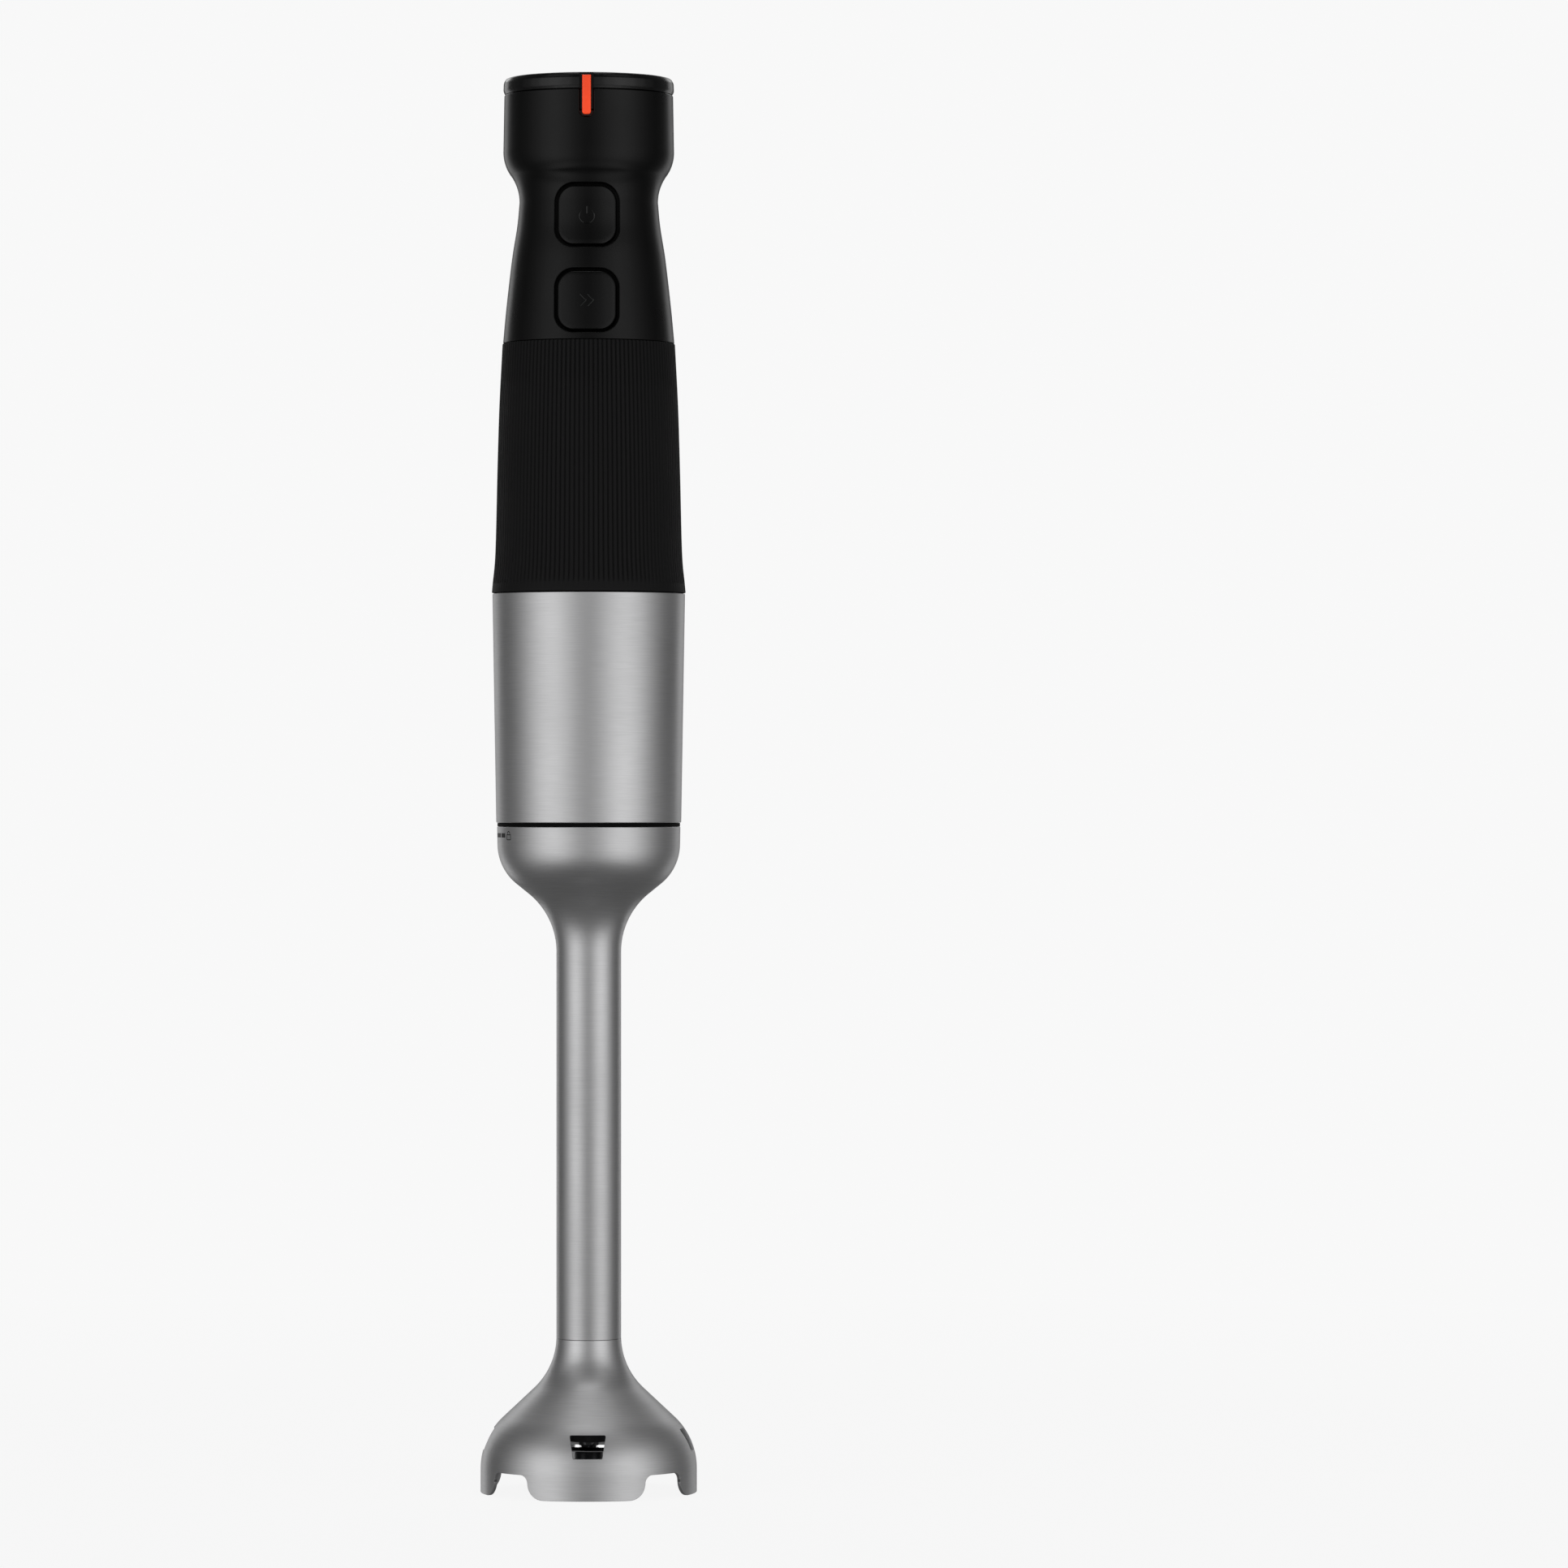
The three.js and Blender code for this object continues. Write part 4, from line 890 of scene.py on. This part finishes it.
def steel_sleeve():
    low, high = bottom("steel_sleeve") - SLEEVE["extra"], top("steel_sleeve")
    foot, wide, wall = SLEEVE["foot"], reach("steel_sleeve"), SLEEVE["wall"]
    corners = [
        (foot - wall - 0.1, low + 0.05, 0.1),
        (foot, low, SLEEVE["round"]),
        (wide, high, 0.2),
        (wide - wall, high, 0.2),
    ]
    return stands_for(turned("motor_sleeve", rounded(corners, 0.2, 8)), "steel_sleeve")


def grip_ring(r, z, band):
    """One ring of the grip's mesh. The grooves between the ribs fade in above the band."""
    samples = GRIP_RIBS["samples"]
    segments = GRIP_RIBS["count"] * samples
    fade = min(1.0, max(0.0, (z - band) / GRIP_BAND["fade"])) if r > 25.5 else 0.0
    points = []
    for i in range(segments):
        across = abs(i % samples / samples - 0.5)
        groove = math.cos(math.pi * min(across / GRIP_RIBS["groove"], 0.5))
        points.append(circle_point(2 * math.pi * i / segments, r - GRIP_RIBS["depth"] * groove * fade, z))
    return points


def grip_sleeve():
    """Rubber sleeve with upright ribs, which stop at a plain band above the steel."""
    low, high = bottom("grip_sleeve"), top("grip_sleeve")
    band, fade = low + GRIP_BAND["height"], GRIP_BAND["fade"]
    side = smooth_line([(28.95, 273.1), (28.1, 282.9), (27.5, 307.3), (26.9, 326.9), (25.95, high)], 5)
    corners = [(27.6, low), (reach("grip_sleeve"), low, 0.3), *side[:-1], (25.95, high, 0.4), (24.4, high)]
    skin = resampled(rounded(corners, 0, 4, closed=False), 6.0)
    outline = [p for p in skin if not band < p[1] < band + fade + 0.1]
    split = next(i for i, p in enumerate(outline) if p[1] >= band)
    radii, heights = zip(*outline[2:-4])
    edge = [(float(np.interp(z, heights, radii)), z) for z in (band, band + fade / 2, band + fade)]
    back = [(SKIRT["high"] + GAP + 0.1, high), (SKIRT["low"] - 0.1 + GAP, low)]
    outline = [*outline[:split], *edge, *outline[split:], *back]
    build = Build()
    build.rows([grip_ring(r, z, band) for r, z in [*outline, outline[0]]])
    return stands_for(build.finish("ribbed_grip", 60), "grip_sleeve")


def turned_on_cord(name, outline):
    """A solid of revolution about the cord's axis, from (radius, y) points."""
    build = Build()
    angles = [2 * math.pi * i / SMALL_SEGMENTS for i in range(SMALL_SEGMENTS)]
    build.rows([[(r * math.cos(a), y, CORD["z"] + r * math.sin(a)) for a in angles] for r, y in outline])
    return build.finish(name)


def cord_gland():
    """Rubber gland at the back, with a flange on each side of the cap's wall and a bore for the cord."""
    bore, collar, end = CORD["bore"], CORD["collar"], CORD["end"]
    flange, neck = GLAND["flange"], GLAND["neck"]
    corners = [
        (bore, GLAND["inner_end"], 0.2),
        (flange, GLAND["inner_end"], 0.3),
        (flange, GLAND["flange_end"], 0.3),
        (neck, GLAND["flange_end"] + 0.2),
        (neck, GLAND["neck_end"]),
        (collar, GLAND["neck_end"]),
        (collar - 0.2, end - 0.6, 0.8),
        (neck + 0.2, end, 0.6),
        (bore, end, 0.5),
    ]
    outline = rounded(corners, 0.2, 5)
    gland = turned_on_cord("gland", [*outline, outline[0]])
    wide = SHOULDER["radius"] + 0.1
    cap = turned("cap_space", [(0, 380), (wide, 380), (wide, 430), (0, 430)], 128, False)
    room = neck + 0.05
    space = turned_on_cord("neck_space", [(0.0, 10), (room, 10), (room, 27), (0.0, 27)])
    combined(cap, "DIFFERENCE", [space])
    return stands_for(combined(gland, "DIFFERENCE", [cap]), "cord_gland")


# ---------------------------------------------------------------- controls


def push_button(name):
    """A key that follows the housing's curve, with a wider flange behind the opening."""
    height = BUTTON_HEIGHTS[name]
    surface = Surface(handle_outline())
    side, corner, sink, fillet = (BUTTON[key] for key in ("side", "corner", "sink", "fillet"))

    def square(margin):
        return np.array([(x, height + z) for x, z in rounded_square(side, corner, margin)])

    levels = [(margin, sink + depth) for margin, depth in fillet_steps(fillet, 5)]
    rings = [surface.front(square(-margin), inset) for margin, inset in [*levels, (0.0, 2.0), (0.0, 4.0)]]
    narrow = rings[-1][:, [0, 2]]
    count = len(narrow)
    wide = rounded_square(BUTTON["flange"], corner + 1.6)
    wide = np.array([wide[round(i * len(wide) / count) % len(wide)] for i in range(count)]) + (0, height)
    front, back = BUTTON_FLANGE["front"], BUTTON_FLANGE["back"]
    for loop, y in ((narrow, front), (wide, front), (wide, back), (narrow, back)):
        rings.append([(x, y, z) for x, z in loop])
    build = Build()
    rows = build.rows(rings)
    build.faces.append(tuple(rows[-1]))
    room = square(-fillet - 0.5)
    spots = np.arange(-9, 9.01, MESH_STEP)
    filled(
        build,
        rings[0][:, [0, 2]],
        [],
        spots,
        height + spots,
        lambda grid: inside(grid, room),
        lambda points: surface.front(points, sink),
    )
    return stands_for(build.finish(f"{name}_key", 50, quads=True), f"{name}_button")


def raised(name, path, width, button):
    """A raised line on a button, drawn as (x, z) points about its centre."""
    surface = Surface(handle_outline())
    lift = 0.12
    section = [(-1.0, -0.3), (-1.0, lift * 0.4), (-0.7, lift), (0.7, lift), (1.0, lift * 0.4), (1.0, -0.3)]

    def place(spots, rise):
        return surface.front(spots + (0, BUTTON_HEIGHTS[button]), BUTTON["sink"] - rise)

    line = line_on(name, np.array(resampled(path, 0.4)), width, section, place)
    return goes_with(line, f"{button}_button", LOOKS["gloss_black"])


def button_marks():
    """A standby sign on the upper button and a double chevron on the lower one."""
    raised("power_sign_ring", arc((0, -0.2), 2.2, 130, 410, 40), 0.45, "power")
    raised("power_sign_bar", [(0, 0.4), (0, 2.6)], 0.45, "power")
    for i, x in enumerate((-1.9, 0.3)):
        raised(f"turbo_sign_{i + 1}", [(x, 1.8), (x + 1.7, 0.0), (x, -1.8)], 0.5, "turbo")


def speed_dial():
    """Dished dial with a grip bar across it and a raised rim that carries the numbers."""
    bore, socket, radius = DIAL["bore"], DIAL["socket"], DIAL["radius"]
    low, base, roof, dish, rim = (DIAL[key] for key in ("low", "base", "roof", "dish", "rim"))
    corners = [(0.0, roof), (bore, roof), (bore, low), (socket, low, 0.3), (socket, base)]
    corners += [(radius, base, 0.3), (radius, rim - 0.4, 0.5), (radius - 0.6, rim, 0.3)]
    corners += [(16.0, rim - 0.3, 0.5), (14.6, dish, 1.0), (0.0, dish)]
    disc = turned("speed_knob", rounded(corners, 0.2, 5, closed=False), closed=False)
    middle, end = GRIP_BAR["half_length"], GRIP_BAR["round"]
    loop = [*arc((0, middle), end, 0, 180, 16), *arc((0, -middle), end, 180, 360, 16)]
    bar = rounded_edges(prism("grip_bar", loop, GRIP_BAR["low"], GRIP_BAR["high"]), 0.6, 4)
    return stands_for(combined(disc, "UNION", [bar]), "speed_dial")


def dial_numbers():
    """Raised numbers 1 to 5 on the rim of the dial, the first one at the index marker."""
    for number in range(1, 6):
        curve = bpy.data.curves.new(f"number_{number}", "FONT")
        curve.body = str(number)
        curve.size = NUMBERS["size"]
        curve.align_x = "CENTER"
        curve.align_y = "CENTER"
        curve.extrude = NUMBERS["thickness"] / 2
        curve.resolution_u = 6
        text = bpy.data.objects.new(f"number_{number}_text", curve)
        bpy.context.scene.collection.objects.link(text)
        bpy.context.view_layer.update()
        mesh = bpy.data.meshes.new_from_object(text.evaluated_get(bpy.context.evaluated_depsgraph_get()))
        bpy.data.objects.remove(text)
        turn = math.radians(NUMBERS["step"] * (number - 1))
        for vertex in mesh.vertices:
            x, y, z = vertex.co - Vector((0, NUMBERS["radius"], -NUMBERS["height"]))
            spot = (x * math.cos(turn) - y * math.sin(turn), x * math.sin(turn) + y * math.cos(turn), z)
            vertex.co = Vector(spot) * MM
        piece = bpy.data.objects.new(f"dial_number_{number}", mesh)
        bpy.context.scene.collection.objects.link(piece)
        goes_with(piece, "speed_dial", LOOKS["heatsink_aluminium"])


# ---------------------------------------------------------------- coupling


def coupling_seal():
    """Rubber ring between the leg and the sleeve, which shows as a thin dark seam."""
    low, high = top("leg_shell") + SEAM, bottom("steel_sleeve") - SLEEVE["extra"] - SEAM
    inner = SPIGOT["outer"] + 0.4
    corners = [(inner, low), (CUP_RIM, low), (CUP_RIM, high), (inner, high)]
    return stands_for(turned("seam_seal", rounded(corners, 0.15)), "coupling_seal", SEAL_RUBBER)


def coupling_flange():
    """Flange and bayonet spigot of the motor unit, with four outward lugs and three screw holes."""
    bore, inner, outer, disc = (SPIGOT[key] for key in ("bore", "inner", "outer", "disc"))
    low, base, high = (SPIGOT[key] for key in ("low", "base", "high"))
    outline = [(bore, base), (inner, base), (inner, low), (outer, low)]
    outline += [(outer, base), (disc, base), (disc, high), (bore, high)]
    body = turned("bayonet_spigot", rounded(outline, 0.3))
    lugs = sectors("lug", 4, 0, LUG_WIDTH, SPIGOT_LUG, SPIGOT_LUG["low"], SPIGOT_LUG["high"])
    combined(body, "UNION", lugs)
    holes = []
    for i, angle in enumerate(np.radians(FLANGE_HOLES["at"])):
        centre = (FLANGE_HOLES["circle"] * math.cos(angle), FLANGE_HOLES["circle"] * math.sin(angle))
        loop = arc(centre, FLANGE_HOLES["radius"], 0, 360, 24)[:-1]
        holes.append(prism(f"hole_{i}", loop, base - 0.9, high + 0.5))
    return stands_for(combined(body, "DIFFERENCE", holes), "coupling_flange")


def drive_dog():
    """Dog on the motor's shaft, with two lugs that reach down."""
    bore, low, pocket, high = (DRIVE_DOG[key] for key in ("bore", "low", "pocket", "high"))
    radius = DOG_LUG["outer"]
    corners = [(bore, pocket), (bore, high), (radius, high), (radius, low), (0.0, low), (0.0, pocket)]
    hub = turned("upper_dog", rounded(corners, 0.3)[:-1], SMALL_SEGMENTS, False)
    lugs = sectors("dog", 2, 0, DOG_LUG["width"], DOG_LUG, DRIVE_DOG["tip"], low + 1.0)
    return stands_for(combined(hub, "UNION", lugs), "drive_dog")


def driven_dog():
    """Dog on the leg's shaft, with two lugs that reach up between those of the drive dog."""
    bore, radius = DRIVEN_DOG["bore"], DRIVEN_DOG["radius"]
    low, pocket, high = (DRIVEN_DOG[key] for key in ("low", "pocket", "high"))
    corners = [(bore, low), (radius, low), (radius, high), (0.0, high), (0.0, pocket), (bore, pocket)]
    hub = turned("lower_dog", rounded(corners, 0.3), SMALL_SEGMENTS)
    lugs = sectors("dog", 2, 90, DOG_LUG["width"], DOG_LUG, high - 0.7, DRIVEN_DOG["tip"])
    return stands_for(combined(hub, "UNION", lugs), "driven_dog")


def leg_socket():
    """Plastic cup in the top of the leg, with four inward lugs."""
    bore, wall, deck = SOCKET["bore"], SOCKET["wall"], SOCKET["floor"]
    low, high = SOCKET["low"], SOCKET["high"]
    outer = arc(CUP_ROUND["centre"], CUP_ROUND["radius"] - LEG_WALL - GAP, -47, 0, 16)
    outline = [(bore, low), *outer, (outer[-1][0], high), (wall, high), (wall, deck), (bore, deck)]
    lugs = sectors("lug", 4, 0, LUG_WIDTH, SOCKET_LUG, SOCKET_LUG["low"], SOCKET_LUG["high"])
    return stands_for(combined(turned("bayonet_socket", outline), "UNION", lugs), "leg_socket")


# ---------------------------------------------------------------- blade


def curve_between(start, control, end, steps=14):
    """A quadratic curve, without its last point."""
    start, control, end = np.array(start), np.array(control), np.array(end)
    turns = np.linspace(0, 1, steps, endpoint=False)
    return [tuple((1 - t) ** 2 * start + 2 * t * (1 - t) * control + t * t * end) for t in turns]


def blade_plan():
    """Sickle-shaped plan of the two wings, as a closed loop of (x, y) points."""
    reach_x, tip, chord = BLADE["reach"], BLADE["tip"], BLADE["chord"]
    wing = curve_between((0, -chord), (reach_x * 0.62, -chord), (reach_x, tip * 0.3))
    wing += curve_between((reach_x, tip * 0.3), (reach_x * 0.96, tip * 0.75), (reach_x * 0.9, tip), 4)
    wing += curve_between((reach_x * 0.9, tip), (reach_x * 0.5, chord * 0.5), (0, chord))
    return wing + [(-x, -y) for x, y in wing]


def shrunk(loop, margin):
    """A closed loop moved inwards, for a loop drawn counter-clockwise."""
    loop = np.array(loop)
    along = np.roll(loop, -1, axis=0) - np.roll(loop, 1, axis=0)
    along /= np.linalg.norm(along, axis=1)[:, None]
    return loop + np.column_stack((-along[:, 1], along[:, 0])) * margin


def blade_bend(x):
    """How far the wings are bent down on the right and up on the left."""
    slope = np.where(x > 0, -BLADE["drop"], BLADE["rise"]) / (BLADE["reach"] + 1 - BLADE_FLAT)
    past = np.abs(x) - BLADE_FLAT
    soft = (np.sqrt(past**2 + 0.8) + past) / 2 - 0.01
    return slope * soft


def blade():
    """Bent two-wing blade, ground to an edge all round, with a hub hole."""
    plan = blade_plan()
    build = Build()
    bevel, land, soft = (BLADE_EDGE[key] for key in ("bevel", "land", "round"))
    thickness = BLADE["thickness"]
    hole = np.array(arc((0, 0), BLADE_EDGE["hole"], 360, 0, 32)[:-1])

    def lifted(loop, rise):
        loop = np.array(loop)
        return np.column_stack((loop, BLADE["top"] - thickness + rise + blade_bend(loop[:, 0])))

    levels = [(bevel, thickness), (0.0, land), (0.0, soft), (soft, 0.0)]
    build.rows([lifted(shrunk(plan, margin), rise) for margin, rise in levels])
    build.rows([lifted(hole, thickness), lifted(hole, 0.0)])
    spots = np.arange(-23, 23.01, MESH_STEP)
    for margin, rise in (levels[0], levels[-1]):
        room = shrunk(plan, margin + 0.5)
        filled(
            build,
            shrunk(plan, margin),
            [hole],
            spots,
            spots,
            lambda grid: inside(grid, room) & ~inside(grid, hole * 1.25),
            lambda points: lifted(points, rise),
        )
    return stands_for(build.finish("cutter", 30, quads=True), "blade")


def blade_nut():
    """Domed nut with a blind bore, which holds the blade."""
    low, seat, pocket = NUT["low"], NUT["seat"], NUT["pocket"]
    radius, bore = NUT["radius"], NUT["bore"]
    dome = [(0.0, low), (2.6, low + 0.3, 1.2), (radius, low + 1.8, 1.2)]
    corners = [*dome, (radius, seat, 0.2), (bore, seat), (bore, pocket), (0.0, pocket)]
    outline = rounded(corners, 0.1, 6, closed=False)
    # The nut takes the dark burnished_steel finish, which is painted shade for the shadow under the blade.
    return stands_for(turned("cutter_nut", outline, SMALL_SEGMENTS, False), "blade_nut")


def drive_shaft():
    """Long shaft with a thinner end, which carries the blade."""
    low, shoulder, high = SHAFT["low"], SHAFT["shoulder"], SHAFT["high"]
    stem, radius = SHAFT["stem"], SHAFT["radius"]
    corners = [(0.0, low), (stem, low, 0.3), (stem, shoulder)]
    corners += [(radius, shoulder, 0.2), (radius, high, 0.4), (0.0, high)]
    outline = rounded(corners, 0.1, 4, closed=False)
    return stands_for(turned("long_shaft", outline, SMALL_SEGMENTS, False), "drive_shaft")


# ---------------------------------------------------------------- pieces inside


def finish_inner_nodes():
    """The CAD nodes that stay get their finishes."""
    for name, node in frame["nodes"].items():
        if node.hide_render:
            continue
        node.data.materials.clear()
        node.data.materials.append(LOOKS[SLOT_OF[name]])


# ---------------------------------------------------------------- stage, light and camera

BACKDROP = 0.94


def stage_look(name, matt, own_light, width):
    """Pale floor as bright as the background, which takes faint shadows near the object only."""
    look, shader = principled(name, (matt, matt, matt), 1.0)
    shader.inputs["Specular IOR Level"].default_value = 0.0
    shader.inputs["Emission Color"].default_value = (1.0, 1.0, 1.0, 1.0)
    nodes, links = look.node_tree.nodes, look.node_tree.links
    place = nodes.new("ShaderNodeTexCoord")
    scale = nodes.new("ShaderNodeMapping")
    scale.inputs["Scale"].default_value = (1 / width, 1 / width, 1 / width)
    near = nodes.new("ShaderNodeTexGradient")
    near.gradient_type = "SPHERICAL"
    links.new(place.outputs["Object"], scale.inputs["Vector"])
    links.new(scale.outputs["Vector"], near.inputs["Vector"])
    spread(look, near.outputs["Fac"], BACKDROP, own_light, shader.inputs["Emission Strength"])
    tint(look, near.outputs["Fac"], (0, 0, 0), (matt, matt, matt), shader.inputs["Base Color"])
    return look


def floor():
    """Wide disc just under the feet."""
    build = Build()
    angles = [2 * math.pi * i / 96 for i in range(96)]
    edge = build.add([circle_point(a, 6000.0, -0.02) for a in angles])
    build.faces.append(tuple(edge))
    piece = build.finish("floor")
    piece.data.materials.append(stage_look("floor", 0.05, 0.9, 1.2))
    piece.visible_glossy = False
    piece.visible_diffuse = False
    piece.visible_shadow = False


def world_light(strength):
    """Dim room light on the object, with a pale background behind it."""
    world = bpy.data.worlds.new("room")
    bpy.context.scene.world = world
    world.use_nodes = True
    nodes, links = world.node_tree.nodes, world.node_tree.links
    room = nodes["Background"]
    room.inputs["Color"].default_value = (1.0, 1.0, 1.0, 1.0)
    room.inputs["Strength"].default_value = strength
    pale = nodes.new("ShaderNodeBackground")
    pale.inputs["Color"].default_value = (BACKDROP, BACKDROP, BACKDROP, 1.0)
    seen = nodes.new("ShaderNodeLightPath")
    pick = nodes.new("ShaderNodeMixShader")
    links.new(seen.outputs["Is Camera Ray"], pick.inputs["Fac"])
    links.new(room.outputs["Background"], pick.inputs[1])
    links.new(pale.outputs["Background"], pick.inputs[2])
    links.new(pick.outputs["Shader"], nodes["World Output"].inputs["Surface"])


def softbox(name, azimuth, distance, height, size, power, facing=(0, 0.22)):
    """A soft light at an azimuth. It faces a point given by its distance from the axis and its height."""
    data = bpy.data.lights.new(name, "AREA")
    data.shape = "RECTANGLE"
    data.size, data.size_y = size
    data.energy = power
    light = bpy.data.objects.new(name, data)
    bpy.context.scene.collection.objects.link(light)
    turn = math.radians(azimuth)
    light.location = (distance * math.sin(turn), -distance * math.cos(turn), height)
    aim = Vector((facing[0] * math.sin(turn), -facing[0] * math.cos(turn), facing[1]))
    light.rotation_euler = (aim - light.location).to_track_quat("-Z", "Y").to_euler()
    light.visible_camera = False
    return light


def light_wall(middle, width, power):
    """Tall panels round the front, brightest at one azimuth on each side, above dimmer sloping ones."""
    foot_size, foot_aim = (0.235, 1.3), (1.285, 0.673)
    for azimuth in range(0, 91, 15):
        share = power * math.exp(-(((azimuth - middle) / width) ** 2))
        for side in (-1, 1) if azimuth else (1,):
            softbox(f"wall_{side * azimuth}", side * azimuth, 1.5, 0.25, (0.4, 1.5), share)
            softbox(f"foot_{side * azimuth}", side * azimuth, 0.9, -0.25, foot_size, 0.25 * share, foot_aim)


def lights():
    world_light(0.127)
    light_wall(45, 30, 2.72)
    for side in (-1, 1):
        softbox(f"rear_softbox_{side}", 148 * side, 1.5, 0.25, (0.5, 1.5), 1.95 - 0.2 * side)
        softbox(f"rear_high_softbox_{side}", 158 * side, 1.4, 0.95, (0.5, 0.5), 0.8 - 0.1 * side)
        softbox(f"high_softbox_{side}", 50 * side, 1.03, 1.45, (0.8, 0.6), 0.6)
    softbox("backlight", 180, 2.2, 0.3, (0.5, 1.2), 2.0)
    softbox("overhead_front", 0, 0.28, 1.8, (1.0, 0.45), 2.7)
    softbox("overhead_back", 180, 0.8, 1.62, (1.0, 0.6), 5.0)


CAMERA = {"place": (0.0588, -2.2, 0.213), "lens": 167.7, "sensor": 36.0}


def camera():
    """Level camera in front, a little to the right of the object."""
    data = bpy.data.cameras.new("camera")
    data.lens = CAMERA["lens"]
    data.sensor_width = CAMERA["sensor"]
    data.clip_start, data.clip_end = 0.05, 50.0
    eye = bpy.data.objects.new("camera", data)
    bpy.context.scene.collection.objects.link(eye)
    eye.location = CAMERA["place"]
    eye.rotation_euler = (math.pi / 2, 0, 0)
    bpy.context.scene.camera = eye
    bpy.context.scene.view_settings.view_transform = "Standard"


camera()
lights()
floor()
bell_guard()
leg_tube()
lock_marks()
bearing_carrier()
handle_shell()
bezel_ring()
index_marker()
steel_sleeve()
grip_sleeve()
cord_gland()
push_button("power")
push_button("turbo")
button_marks()
speed_dial()
dial_numbers()
coupling_seal()
coupling_flange()
drive_dog()
driven_dog()
leg_socket()
blade()
blade_nut()
drive_shaft()
finish_inner_nodes()
